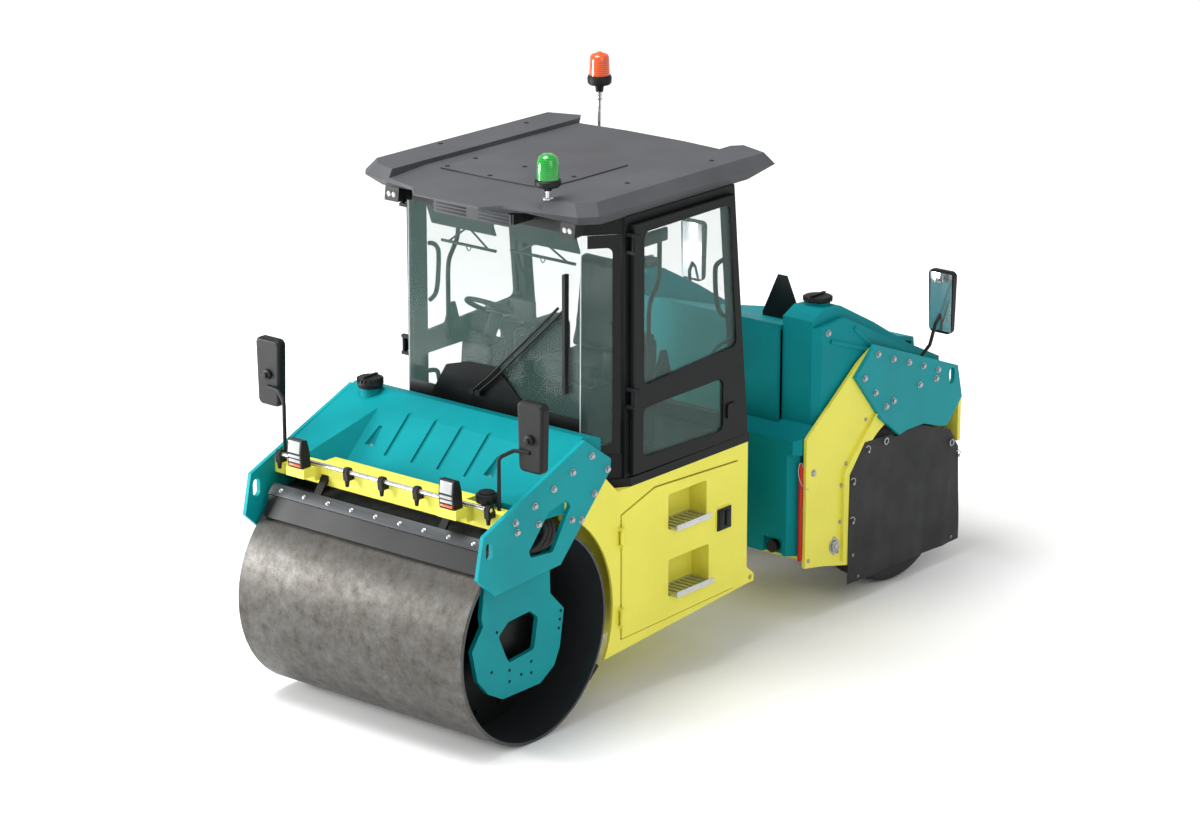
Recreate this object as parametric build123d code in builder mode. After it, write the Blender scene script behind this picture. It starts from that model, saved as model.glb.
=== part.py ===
import os
from math import sqrt

from build123d import *

os.makedirs("parts", exist_ok=True)

# Driving sizes in millimetres, X forward, Y to the left, Z up from the ground
drum_radius = 615.5
drum_width = 1680
drum_wall = 20
drum_bore = 70
head_depth = 350
arm_depth = 115
front_body = 1930
joint_gap = 445
rear_body = 1105
tyre_radius = 540
tyre_width = 285
tyre_gap = 180
centre_gap = 180
tyre_overhang = 75.5
rim_radius = 260
plate_thick = 28
panel_thick = 16
side_gap = 16
arch_gap = 74.5
fender_gap = 25
deck_gap = 44
cab_height = 1563
post_lean = 145
door_thick = 28
door_gap = 6
pane = 8
ring_thick = 52
glass_width = 1280
roof_drop = 67
roof_rise = 134
swivel_pin = 45
rock_z = 720
rock_radius = 110
steer_arm = 260
rod_radius = 25
hinge_pin = 6
seat_y = 150
wheel_y = -350
mirror_tall = 395
mirror_wide = 188
running_gap = 0.05
seam = 0.2
lash_tall = 104
lash_wide = 56

# Places that follow from the driving sizes
wheelbase = front_body + joint_gap + rear_body
front_x = wheelbase / 2
rear_x = -wheelbase / 2
back_x = front_x - front_body
face_x = back_x - joint_gap
swivel_x = face_x + 240
tail_x = rear_x - tyre_radius - tyre_overhang
drum_half = drum_width / 2
drum_top = 2 * drum_radius
plate_in = drum_half + side_gap
plate_y = plate_in + plate_thick
panel_y = drum_half - 10
panel_in = panel_y - panel_thick
arm_y = drum_half - arm_depth
arm_in = arm_y - plate_thick
head_y = drum_half - head_depth
arch_radius = drum_radius + arch_gap
deck_z = drum_top + deck_gap
foot_z = drum_radius - 311.5
bay_low = rock_z - 180
bay_high = rock_z + 180
tyre_inner_y = (centre_gap + tyre_width) / 2
tyre_outer_y = tyre_inner_y + tyre_width + tyre_gap
rear_half = tyre_outer_y + tyre_width / 2
rear_in = rear_half + side_gap
rear_out = rear_in + plate_thick
fender_radius = tyre_radius + fender_gap
rear_deck_z = 2 * tyre_radius + 30
rear_top_z = rear_deck_z + 40
pieces = {}


def near_drum(*shares):
    return [(front_x + drum_radius * along, drum_radius + drum_radius * up) for along, up in shares]


def near_tyre(*shares):
    return [(rear_x + tyre_radius * along, tyre_radius + tyre_radius * up) for along, up in shares]


def slab(points, y_low, y_high, mode=Mode.ADD, corner=0, grow=0):
    with BuildSketch(Plane.XZ.offset(-y_high)) as outline:
        with BuildLine():
            Polyline(*points, close=True)
        make_face()
        if grow:
            offset(amount=grow, kind=Kind.INTERSECTION)
        if corner:
            fillet(outline.vertices(), corner)
    extrude(outline.sketch, amount=y_high - y_low, mode=mode)


def deck(points, z_low, z_high, mode=Mode.ADD, corner=0):
    with BuildSketch(Plane.XY.offset(z_low)) as outline:
        with BuildLine():
            Polyline(*points, close=True)
        make_face()
        if corner:
            fillet(outline.vertices(), corner)
    extrude(outline.sketch, amount=z_high - z_low, mode=mode)


def cross(points, x_low, x_high, mode=Mode.ADD, corner=0):
    with BuildSketch(Plane.YZ.offset(x_low)) as outline:
        with BuildLine():
            Polyline(*points, close=True)
        make_face()
        if corner:
            fillet(outline.vertices(), corner)
    extrude(outline.sketch, amount=x_high - x_low, mode=mode)


def block(x_low, x_high, y_low, y_high, z_low, z_high, mode=Mode.ADD):
    middle = ((x_low + x_high) / 2, (y_low + y_high) / 2, (z_low + z_high) / 2)
    with Locations(middle):
        Box(x_high - x_low, y_high - y_low, z_high - z_low, mode=mode)


def bar(start, end, radius, mode=Mode.ADD):
    run = Vector(*end) - Vector(*start)
    with BuildSketch(Plane(origin=start, z_dir=run)) as outline:
        Circle(radius)
    extrude(outline.sketch, amount=run.length, mode=mode)


def turned(x, z, profile, mode=Mode.ADD):
    with BuildSketch(Plane.XY.offset(z)) as outline:
        with BuildLine():
            Polyline(*[(x + reach, side) for side, reach in profile], close=True)
        make_face()
    revolve(outline.sketch, axis=Axis((x, 0, z), (0, 1, 0)), mode=mode)


def upright(x, y, profile, mode=Mode.ADD):
    with BuildSketch(Plane.XZ.offset(-y)) as outline:
        with BuildLine():
            Polyline(*[(x + reach, height) for reach, height in profile], close=True)
        make_face()
    revolve(outline.sketch, axis=Axis((x, y, 0), (0, 0, 1)), mode=mode)


def bent(points, bend, radius):
    with BuildLine() as path:
        FilletPolyline(*points, radius=bend)
    with BuildSketch(Plane(origin=path.line @ 0, z_dir=path.line % 0)) as outline:
        Circle(radius)
    sweep(outline.sketch, path=path.line)


def soft_box(x_low, x_high, y_low, y_high, z_low, z_high, round_over):
    with BuildPart() as pad:
        block(x_low, x_high, y_low, y_high, z_low, z_high)
        fillet(pad.edges(), round_over)
    add(pad.part)


def mirror_head(x_low, x_high, y, z_low, back):
    with BuildPart() as head:
        cross([(y - mirror_wide / 2 + 12, z_low), (y + mirror_wide / 2 - 12, z_low),
               (y + mirror_wide / 2, z_low + mirror_tall),
               (y - mirror_wide / 2, z_low + mirror_tall)], x_low, x_high, corner=34)
        fillet(head.faces().sort_by(Axis.X)[back].edges(), 18)
    add(head.part)


def swapped(source):
    with BuildPart() as other:
        mirror(source.part, about=Plane.XZ)
    return other


# Drum, an open shell with two recessed heads
with BuildPart() as drum_shell:
    turned(front_x, drum_radius, [(-drum_half, drum_radius - drum_wall), (-drum_half, drum_radius - 5),
                                  (5 - drum_half, drum_radius), (drum_half - 5, drum_radius),
                                  (drum_half, drum_radius - 5), (drum_half, drum_radius - drum_wall)])
pieces["drum_shell"] = drum_shell

with BuildPart() as drum_heads:
    turned(front_x, drum_radius, [(head_y - 60, drum_bore), (head_y, drum_bore),
                                  (head_y, drum_radius - drum_wall),
                                  (head_y - 20, drum_radius - drum_wall), (head_y - 20, 190), (head_y - 60,
                                                                                               130)])
    mirror(about=Plane.XZ)
pieces["drum_heads"] = drum_heads

with BuildPart() as drum_hubs:
    turned(front_x, drum_radius, [(head_y - 60, 0), (head_y - 60, drum_bore - running_gap),
                                  (head_y + 20, drum_bore - running_gap), (head_y + 20,
                                                                           118), (arm_in - 110, 118),
                                  (arm_in - 90, 215), (arm_in, 215), (arm_in, 180), (arm_in - 60, 180),
                                  (arm_in - 60, 0)])
    mirror(about=Plane.XZ)
pieces["drum_hubs"] = drum_hubs

# Front side plates with the yoke arms that reach into the drum
plate_outline = near_drum((0.7571, 1.163), (-0.6239, 1.715), (-0.9927, 1.456), (-0.9813, 1.341),
                          (-0.2811, 0.6328), (0.6206, 0.5808), (0.8416, 0.7839))
slot_outline = near_drum((-0.3526, 1.226), (-0.4224, 1.161), (-0.1706, 0.7855), (0.1316, 0.8099),
                         (0.1576, 0.8733), (-0.1186, 1.175))
arm_front = near_drum((0.4387, 0.7628), (0.5085, 0.2803), (0.489, 0.2006), (0.6401, 0.0008),
                      (0.5686, -0.3014), (0.4224, -0.4639), (0.2275, -0.5646))
arm_back = near_drum((-0.2924, -0.5646), (-0.4874, -0.4476), (-0.5686, -0.2851), (-0.6255, 0.0674),
                     (-0.4354, 0.2624), (-0.4224, 0.7628))
arm_window = near_drum((0.2811, 0.0463), (0.1478, 0.1503), (-0.1543, 0.1698), (-0.2632, 0.082),
                       (-0.2063, -0.2088), (0.1381, -0.2413), (0.1917, -0.1487))
arm_bridge = near_drum((-0.3249, 0.6409), (0.4224, 0.6084), (0.4387, 0.7628), (-0.3899, 0.7628))
lash_front = near_drum((0.6905, 1.015))[0]
with BuildPart() as front_plate_left:
    slab(plate_outline, plate_in, plate_y)
    chamfer(front_plate_left.faces().sort_by(Axis.Y)[-1].edges(), 4)
    slab(slot_outline, plate_in, plate_y, Mode.SUBTRACT, corner=16)
    with BuildSketch(Plane.XZ.offset(-plate_y)):
        with Locations(lash_front):
            SlotOverall(lash_tall, lash_wide, rotation=90)
    extrude(amount=plate_thick, mode=Mode.SUBTRACT)
    slab(arm_front + arm_back, arm_in, arm_y)
    slab(arm_window, arm_in, arm_y, Mode.SUBTRACT, corner=24)
    slab(arm_bridge, arm_y, plate_in)
front_plate_right = swapped(front_plate_left)
pieces["front_plate_left"] = front_plate_left
pieces["front_plate_right"] = front_plate_right

# Yellow middle body with the drum arch and the hatch opening
hatch_front = front_x - arch_radius - 75
hatch_back = back_x + 103
hatch_low = foot_z + 85
hatch_high = deck_z - 61
hinge_x = hatch_front + 15
hinge_y = panel_y + 20
hinge_spots = (hatch_low + 131, hatch_high - 214)
hatch_outline = [(hatch_front, hatch_low), (hatch_back + 32, hatch_low + 25), (hatch_back, hatch_low + 57),
                 (hatch_back, hatch_high - 34), (hatch_front - 297, hatch_high), (hatch_front,
                                                                                  hatch_high - 89)]
arch_foot = (front_x - sqrt(arch_radius**2 - (drum_radius - foot_z) ** 2), foot_z)
ear_z = deck_z + 165
ear_back = front_x - arch_radius + 126
ear_front = front_x - 240
wall_front = front_x - arch_radius - 40
with BuildPart() as side_wall_left:
    slab([arch_foot, (back_x, foot_z + 94), (back_x, deck_z), (wall_front, deck_z), (ear_back, ear_z),
          (ear_front, ear_z), (ear_front, foot_z + 596)], panel_in, panel_y)
    slab([(ear_back, ear_z), (ear_front, ear_z), (ear_front, ear_z - 240), (ear_front - 120, ear_z - 260),
          (ear_back - 26, ear_z - 26)], panel_y, plate_in)
    bar((front_x, panel_in - 10, drum_radius), (front_x, plate_in, drum_radius), arch_radius, Mode.SUBTRACT)
    slab(hatch_outline, panel_in, panel_y, Mode.SUBTRACT, grow=8)
    for spot in hinge_spots:
        for low in (spot - 60, spot + 41):
            block(hinge_x - 12, hinge_x + 12, panel_y, hinge_y + 12, low, low + 19)
        bar((hinge_x, hinge_y, spot - 50), (hinge_x, hinge_y, spot + 50), hinge_pin)
side_wall_right = swapped(side_wall_left)
pieces["side_wall_left"] = side_wall_left
pieces["side_wall_right"] = side_wall_right

core_y = panel_y - 190
chassis_front = front_x - arch_radius + 250
belly_front = (chassis_front, foot_z + 26)
belly_back = (back_x + 20, foot_z + 96)


def belly_at(x):
    share = (belly_front[0] - x) / (belly_front[0] - belly_back[0])
    return belly_front[1] + share * (belly_back[1] - belly_front[1])


core_back = back_x + 25 + seam
bay_end = back_x + 580
bay_half = 420
with BuildPart() as mid_chassis:
    slab([belly_front, (core_back, belly_at(core_back)), (core_back, bay_low), (chassis_front, bay_low)],
         -core_y, core_y)
    block(core_back, chassis_front, -core_y, core_y, bay_high, deck_z - 40 - seam)
    block(bay_end, chassis_front, -core_y, core_y, bay_low + seam, bay_high - seam)
    for low in (-core_y, bay_half):
        block(core_back, bay_end - seam, low, low + core_y - bay_half, bay_low + seam, bay_high - seam)
    bar((front_x, -core_y, drum_radius), (front_x, core_y, drum_radius), arch_radius, Mode.SUBTRACT)
    block(back_x, wall_front - 5, -panel_in, panel_in, deck_z - 40, deck_z)
    block(back_x, back_x + 25, -panel_in, panel_in, foot_z + 96, deck_z - 40 - seam)
    block(back_x - 10, back_x + 25, -bay_half, bay_half, bay_low, bay_high, Mode.SUBTRACT)
    for low in (bay_low - 50, bay_high):
        deck([(swivel_x, -90), (swivel_x, 90), (back_x + 10, 150), (back_x + 25, 150), (back_x + 25, -150),
              (back_x + 10, -150)], low, low + 50)
        bar((swivel_x, 0, low), (swivel_x, 0, low + 50), 90)
        bar((swivel_x, 0, low), (swivel_x, 0, low + 50), swivel_pin + running_gap, Mode.SUBTRACT)
pieces["mid_chassis"] = mid_chassis

tie_x = back_x - 36
tie_z = foot_z + 126
with BuildPart() as tie_lugs:
    slab([(back_x, tie_z + 70), (back_x, tie_z - 32), (back_x - 67, tie_z - 32), (back_x - 72, tie_z + 13),
          (back_x - 40, tie_z + 40)], panel_in, panel_y)
    bar((tie_x, panel_in, tie_z), (tie_x, panel_y, tie_z), 17, Mode.SUBTRACT)
    mirror(about=Plane.XZ)
pieces["tie_lugs"] = tie_lugs

# Side hatch, hung on pins at its front edge, with two step pockets
hatch_in = panel_y - 14
hatch_out = panel_y + 6
step_x = (hatch_front + hatch_back) / 2 - 62
step_low = hatch_low + 136
step_high = hatch_high - 285
latch_z = (hatch_low + hatch_high) / 2 + 68
pockets = [(step_x - 177, step_x + 177, step_high, step_high + 213),
           (step_x - 201, step_x + 174, step_low, step_low + 224)]
with BuildPart() as hatch_left:
    slab(hatch_outline, hatch_in, hatch_out)
    for x_low, x_high, z_low, z_high in pockets:
        slab([(x_low, z_low), (x_high, z_low), (x_high, z_high), (x_low, z_high)], hatch_in, hatch_out,
             Mode.SUBTRACT,
             corner=14)
    slab([(hatch_back + 64, latch_z - 74), (hatch_back + 208, latch_z - 74),
          (hatch_back + 208, latch_z + 74),
          (hatch_back + 64, latch_z + 74)], hatch_out, hatch_out + 6, corner=20)
    for spot in hinge_spots:
        bar((hinge_x, hinge_y, spot - 40), (hinge_x, hinge_y, spot + 40), hinge_pin + 7)
        block(hatch_front - 35, hinge_x, hatch_out, hatch_out + 6, spot - 40, spot + 40)
        bar((hinge_x, hinge_y, spot - 40), (hinge_x, hinge_y, spot + 40), hinge_pin + running_gap,
            Mode.SUBTRACT)
hatch_right = swapped(hatch_left)
pieces["hatch_left"] = hatch_left
pieces["hatch_right"] = hatch_right

pocket_depth = 106
with BuildPart() as step_boxes_left:
    for x_low, x_high, z_low, z_high in pockets:
        block(x_low - 8, x_high + 8, hatch_in - pocket_depth - 8, hatch_in, z_low - 8, z_high + 8)
        block(x_low, x_high, hatch_in - pocket_depth, hatch_in, z_low, z_high, Mode.SUBTRACT)
step_boxes_right = swapped(step_boxes_left)
pieces["step_boxes_left"] = step_boxes_left
pieces["step_boxes_right"] = step_boxes_right

tread_out = panel_y + 60
with BuildPart() as treads_left:
    for x_low, x_high, z_low, z_high in pockets:
        block(x_low + 16, x_high - 16, hatch_in - pocket_depth, tread_out, z_low, z_low + 14)
        block(x_low + 16, x_high - 16, tread_out - 4, tread_out, z_low + 14, z_low + 34)
        for place in range(7):
            block(x_low + 34 + 44 * place, x_low + 56 + 44 * place, hatch_in - pocket_depth + 20,
                  tread_out - 24, z_low,
                  z_low + 14, Mode.SUBTRACT)
treads_right = swapped(treads_left)
pieces["treads_left"] = treads_left
pieces["treads_right"] = treads_right

# Front tank, a ribbed valley between two shoulders that follow the side plates
tank_side = near_drum((0.3087, 1.107), (0.3087, 1.335), (-0.5524, 1.684), (-0.6499, 1.73),
                      (-0.8936, 1.665), (-0.8936, 1.112), (-0.5524, 1.08))
valley_top = near_drum((-0.4305, 1.65))[0]
valley_foot = near_drum((-0.0699, 1.318))[0]
valley_half = plate_in - 320
groove_ys = [-298, -97, 97, 298]
dimple_y = valley_half - 91
dimple_run = 130
tank_cap_y = 150 - drum_half
tank_cap_x, tank_cap_z = near_drum((-0.5719, 1.715))[0]
with BuildPart() as front_tank:
    slab(tank_side, -plate_in, plate_in)
    slope = Vector(valley_foot[0] - valley_top[0], 0, valley_foot[1] - valley_top[1])
    valley = Plane(origin=(valley_top[0], 0, valley_top[1]), x_dir=(0, 1, 0), z_dir=slope)
    with BuildSketch(valley.offset(-250)) as trough:
        with BuildLine():
            Polyline((-valley_half, 0), (valley_half, 0), (plate_in - 100, 300), (100 - plate_in, 300),
                     close=True)
        make_face()
    extrude(trough.sketch, amount=900, mode=Mode.SUBTRACT)
    with BuildSketch(valley) as grooves:
        for spot in groove_ys:
            with Locations((spot, 0)):
                Rectangle(26, 24)
    extrude(grooves.sketch, amount=slope.length, mode=Mode.SUBTRACT)
    for side in (-1, 1):
        with BuildSketch(valley.offset(dimple_run)) as dimple:
            with Locations((side * dimple_y, 0)):
                Circle(12)
        with BuildSketch(valley.offset(slope.length - 40)) as dimple_end:
            with Locations((side * dimple_y, 0)):
                Circle(36)
        loft([dimple.sketch, dimple_end.sketch], mode=Mode.SUBTRACT)
    for low in (-plate_in - 2, panel_in - 2):
        block(ear_back - 30, ear_front + 5, low, low + plate_in - panel_in + 4, ear_z - 262, ear_z + 5,
              Mode.SUBTRACT)
    bar((front_x, -plate_in, drum_radius), (front_x, plate_in, drum_radius), drum_radius + 25,
        Mode.SUBTRACT)
    bar((tank_cap_x, tank_cap_y, tank_cap_z - 90), (tank_cap_x, tank_cap_y, tank_cap_z + 16), 60)
pieces["front_tank"] = front_tank

beam_x = near_drum((0.3412, 1.107))[0][0]
beam_z = drum_top + 66
beam_top = beam_z + 115
beam_front = beam_x + 60
lamp_y = drum_half - 274
with BuildPart() as front_beam:
    slab([(beam_x, beam_z), (beam_front, beam_z), (beam_front, beam_top - 14), (beam_front - 14, beam_top),
          (beam_x, beam_top)], -plate_in, plate_in)
    for side in (-1, 1):
        with BuildPart() as bracket:
            slab([(beam_front, beam_z + 30), (beam_front + 46, beam_z + 30), (beam_front + 62, beam_z + 62),
                  (beam_front + 140, beam_z + 62), (beam_front + 140, beam_top), (beam_front, beam_top)],
                 side * lamp_y - 68, side * lamp_y + 68)
            block(beam_front, beam_front + 128, side * lamp_y - 58, side * lamp_y + 58, beam_z + 20,
                  beam_top - 10,
                  Mode.SUBTRACT)
        add(bracket.part)
pieces["front_beam"] = front_beam

spray_x = beam_front + 34
spray_z = beam_top + 14
spray_end = drum_half - 46
spray_spots = [-780, -260, 0, 260, 780]
with BuildPart() as spray_tube:
    bar((spray_x, -spray_end, spray_z), (spray_x, spray_end, spray_z), 13)
pieces["spray_tube"] = spray_tube

mirror_x = beam_x - 44
mirror_y = drum_half + 134
mirror_z = beam_top + 233
with BuildPart() as front_fittings:
    for spot in spray_spots:
        slab([(beam_front, beam_top - 34), (beam_front + 56, beam_top - 34),
              (beam_front + 62, beam_top + 20),
              (beam_front + 46, beam_top + 40), (beam_front + 20, beam_top + 38), (beam_front,
                                                                                   beam_top - 4)],
             spot * spray_end / 794 - 16, spot * spray_end / 794 + 16)
        upright(beam_front + 42, spot * spray_end / 794, [(0, beam_top - 70), (10, beam_top - 70),
                                                          (15, beam_top - 34),
                                                          (0, beam_top - 34)])
    bar((spray_x, -spray_end - 40, spray_z), (spray_x, spray_end + 40, spray_z), 13 + running_gap,
        Mode.SUBTRACT)
    for side in (-1, 1):
        slab([(beam_front + 66, beam_top), (beam_front + 138, beam_top), (beam_front + 146, beam_top + 90),
              (beam_front + 136, beam_top + 168), (beam_front + 92, beam_top + 160), (beam_front + 72,
                                                                                      beam_top + 90)],
             side * lamp_y - 52, side * lamp_y + 52)
    upright(tank_cap_x, tank_cap_y, [(0, tank_cap_z + 16), (72, tank_cap_z + 16), (78, tank_cap_z + 40),
                                     (66, tank_cap_z + 74), (0, tank_cap_z + 78)])
    for side in (-1, 1):
        bent([(beam_x + 35, side * (drum_half - 40), beam_top), (beam_x + 35, side * (drum_half - 40),
                                                                 beam_top + 300),
              (beam_x, side * (drum_half + 40),
               beam_top + 348), (mirror_x + 26, side * mirror_y, beam_top + 348)], 40, 11)
        mirror_head(mirror_x - 28, mirror_x + 27, side * mirror_y, mirror_z, -1)
pieces["front_fittings"] = front_fittings

strip_line = near_drum((0.5378, 1.034), (0.554, 1.047), (0.6304, 0.9594), (0.6141, 0.9464))
blade_line = near_drum((0.5914, 0.9301), (0.6141, 0.9464), (0.7019, 0.7644), (0.6824, 0.7547))
strip_arm = near_drum((0.5378, 1.034), (0.554, 1.047))
blade_gap = 7
blade_z = foot_z - 79
blade_x = front_x - sqrt((drum_radius + blade_gap) ** 2 - (drum_radius - blade_z) ** 2)
rear_blade = [(blade_x - 75, blade_z + 75), (blade_x, blade_z), (blade_x - 25, blade_z - 20),
              (blade_x - 105, blade_z + 45)]
strip_half = drum_half - 40
with BuildPart() as drum_scrapers:
    slab(strip_line, -strip_half, strip_half)
    slab(blade_line, -strip_half, strip_half)
    for side in (-1, 1):
        slab([strip_arm[0], strip_arm[1], (beam_front, beam_z + 60), (beam_front, beam_z + 30)],
             side * (lamp_y - 100) - 26, side * (lamp_y - 100) + 26)
    slab([(blade_x - 215, belly_at(blade_x - 215)), (blade_x - 115, belly_at(blade_x - 115))] + rear_blade
         + [(blade_x - 215, foot_z + 4)], -core_y + 20, core_y - 20)
    slab(rear_blade, -drum_half + 30, drum_half - 30)
pieces["drum_scrapers"] = drum_scrapers

# Cab, a hollow shell of posts, glass, doors and roof
sill_z = deck_z + 51
roof_z = deck_z + cab_height
door_y = panel_y + 16
ring_y = door_y - door_thick - door_gap
ring_in = ring_y - ring_thick
cab_back = back_x - 15
post_x = front_x - arch_radius - 125
door_front = post_x - 37
glass_x = front_x - arch_radius + 58
glass_half = glass_width / 2
corner_y = glass_half - 25
glass_low = deck_z + 315
glass_high = roof_z - 98


def back_at(height):
    return cab_back + post_lean * (height - sill_z) / (roof_z - sill_z)


with BuildPart() as cab_floor:
    deck([(cab_back, -panel_y), (post_x - 35, -panel_y), (glass_x + 20, -corner_y - 50),
          (glass_x + 20, corner_y + 50),
          (post_x - 35, panel_y), (cab_back, panel_y)], deck_z, sill_z)
pieces["cab_floor"] = cab_floor

cuff_x = post_x + 15
cuff_z = deck_z + 525
with BuildPart() as cab_frame:
    slab([(cab_back, sill_z), (post_x, sill_z), (post_x, roof_z), (back_at(roof_z), roof_z)], ring_in,
         ring_y)
    slab([(back_at(sill_z + 70) + 80, sill_z + 70), (post_x - 115, sill_z + 70),
          (post_x - 115, roof_z - 78),
          (back_at(roof_z - 78) + 80, roof_z - 78)], ring_in, ring_y, Mode.SUBTRACT, corner=60)
    mirror(about=Plane.XZ)
    slab([(cab_back, sill_z), (cab_back + 60, sill_z), (back_at(sill_z + 94) + 58, sill_z + 94),
          (back_at(sill_z + 94), sill_z + 94)], -ring_in, ring_in)
    slab([(back_at(roof_z - 78), roof_z - 78), (back_at(roof_z - 78) + 70, roof_z - 78),
          (back_at(roof_z) + 70, roof_z),
          (back_at(roof_z), roof_z)], -ring_in, ring_in)
    block(glass_x - 68, glass_x + 2, -corner_y + 15, corner_y - 15, glass_high, roof_z)
    for side in (-1, 1):
        deck([(post_x - 30, side * ring_in), (post_x - 30, side * ring_y),
              (glass_x + 2, side * (corner_y + 25)),
              (glass_x - 68, side * (corner_y - 15))], glass_high, roof_z)
        deck([(glass_x - 48, side * (corner_y - 15)), (glass_x + 20, side * (corner_y + 50)),
              (post_x - 35, side * ring_y),
              (post_x - 35, side * ring_in)], sill_z, glass_low - 120)
        slab([(glass_x - 53, glass_high), (glass_x - 66, glass_high), (glass_x - 120, glass_high - 140),
              (glass_x - 107, glass_high - 140)], side * 310 - 240, side * 310 + 240)
    block(glass_x - 33, glass_x + 12, -corner_y - 45, corner_y + 45, sill_z, glass_low)
    cross([(-500, glass_low - 20), (-346, glass_low + 234), (-194, glass_low + 275), (40, glass_low + 283),
           (209, glass_low + 127), (330, glass_low - 20)], glass_x, glass_x + 12, corner=18)
pieces["cab_frame"] = cab_frame

with BuildPart() as cab_glass:
    slab([(glass_x - 8, glass_low), (glass_x, glass_low), (glass_x - 10, glass_high),
          (glass_x - 18, glass_high)],
         -glass_half, glass_half)
    for side in (-1, 1):
        deck([(glass_x - 34, side * (glass_half + 23)), (glass_x - 29, side * (glass_half + 30)),
              (post_x + 5, side * (ring_y - 27)),
              (post_x, side * (ring_y - 34))], glass_low - 120, glass_high)
    slab([(back_at(sill_z + 94) + 31, sill_z + 94), (back_at(sill_z + 94) + 39, sill_z + 94),
          (back_at(roof_z - 78) + 39, roof_z - 78), (back_at(roof_z - 78) + 31,
                                                     roof_z - 78)], -ring_in + 20, ring_in - 20)
pieces["cab_glass"] = cab_glass


def roof_plan(prow, brow, wing, tail):
    near = [(prow, 240), (prow - 90, 330), (brow, wing - 80), (brow - 90, wing), (tail + 70, wing),
            (tail, wing - 200),
            (tail + 100, wing - 280), (tail + 70, 210)]
    return near + [(x, -y) for x, y in reversed(near)]


roof_half = panel_y + 32
roof_mid_z = roof_z + roof_drop
roof_top_z = roof_z + roof_rise
roof_levels = [(roof_z, roof_plan(glass_x + 182, glass_x + 112, roof_half - 60, cab_back - 60)),
               (roof_mid_z, roof_plan(glass_x + 387, glass_x + 192, roof_half, cab_back - 240)),
               (roof_top_z, roof_plan(glass_x + 370, glass_x + 152, roof_half - 52, cab_back - 200))]
with BuildPart() as roof:
    for low, high in zip(roof_levels, roof_levels[1:]):
        with BuildSketch(Plane.XY.offset(low[0])) as under:
            Polygon(*low[1], align=None)
        with BuildSketch(Plane.XY.offset(high[0])) as over:
            Polygon(*high[1], align=None)
        loft([under.sketch, over.sketch], ruled=True)
    slab([(cab_back - 400, roof_top_z - 26), (glass_x - 68, roof_top_z - 26),
          (glass_x + 432, roof_mid_z + 6),
          (glass_x + 432, roof_top_z + 50), (cab_back - 400, roof_top_z + 50)],
         300 - roof_half, roof_half - 300, Mode.SUBTRACT)
pieces["roof"] = roof

with BuildPart() as roof_fittings:
    block(glass_x + 2, glass_x + 162, -300, 300, roof_z - 59, roof_z)
    for place in range(18):
        block(glass_x + 150, glass_x + 167, 32 * place - 284, 32 * place - 268, roof_z - 50, roof_z - 9,
              Mode.SUBTRACT)
    for side in (-1, 1):
        with BuildPart() as lamp:
            slab([(glass_x + 12, roof_z), (glass_x + 112, roof_z), (glass_x + 122, roof_z - 82),
                  (glass_x + 52, roof_z - 74)],
                 side * (corner_y + 35) - 52, side * (corner_y + 35) + 52)
        add(lamp.part)
pieces["roof_fittings"] = roof_fittings

green_x = glass_x + 177
green_y = roof_half - 300
amber_x = cab_back - 195
amber_y = 400 - roof_half
with BuildPart() as beacon_posts:
    upright(green_x, green_y, [(0, roof_mid_z + 20), (13, roof_mid_z + 20), (13, roof_mid_z + 120),
                               (50, roof_mid_z + 124),
                               (50, roof_mid_z + 175), (0, roof_mid_z + 175)])
    upright(amber_x, amber_y, [(0, roof_mid_z), (13, roof_mid_z), (13, roof_mid_z + 227),
                               (52, roof_mid_z + 231),
                               (52, roof_mid_z + 326), (0, roof_mid_z + 326)])
    block(amber_x - 30, amber_x + 140, amber_y - 30, amber_y + 30, roof_mid_z - 12, roof_mid_z)
    add(roof.part, mode=Mode.SUBTRACT)
pieces["beacon_posts"] = beacon_posts

with BuildPart() as green_lens:
    upright(green_x, green_y, [(0, roof_mid_z + 175), (46, roof_mid_z + 175), (44, roof_mid_z + 290),
                               (30, roof_mid_z + 318),
                               (0, roof_mid_z + 324)])
pieces["green_lens"] = green_lens

with BuildPart() as amber_lens:
    upright(amber_x, amber_y, [(0, roof_mid_z + 326), (48, roof_mid_z + 326), (46, roof_mid_z + 430),
                               (32, roof_mid_z + 464),
                               (0, roof_mid_z + 474)])
pieces["amber_lens"] = amber_lens

seat_x = back_x + 420
seat_z = sill_z + 374
with BuildPart() as seat:
    soft_box(seat_x, seat_x + 470, seat_y - 250, seat_y + 250, seat_z, seat_z + 110, 36)
    with BuildPart() as rest:
        slab([(seat_x, seat_z + 80), (seat_x + 110, seat_z + 80), (seat_x + 30, seat_z + 690),
              (seat_x - 60, seat_z + 680)],
             seat_y - 235, seat_y + 235)
        fillet(rest.edges(), 34)
    add(rest.part)
pieces["seat"] = seat

stem_x = glass_x - 378
wiper_y = -135
wiper_z = glass_low + 118
blade_y = 545
with BuildPart() as cab_console:
    soft_box(seat_x + 60, seat_x + 390, seat_y - 180, seat_y + 180, sill_z, seat_z, 20)
    slab([(stem_x - 60, sill_z), (stem_x + 170, sill_z), (stem_x + 120, sill_z + 560),
          (stem_x - 20, sill_z + 590)],
         wheel_y - 110, wheel_y + 110, corner=24)
    bar((stem_x + 20, wheel_y, sill_z + 560), (stem_x - 66, wheel_y, sill_z + 709), 38)
    with Locations(Location((stem_x - 70, wheel_y, sill_z + 716), (0, -30, 0))):
        Torus(190, 15)
        Cylinder(60, 34)
        for turn in (0, 120, 240):
            with Locations(Rotation(0, 0, turn)):
                with Locations((95, 0, 0)):
                    Box(190, 34, 12)
    block(glass_x - 153, glass_x - 33, -400, 240, sill_z, glass_low - 60)
pieces["cab_console"] = cab_console

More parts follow.
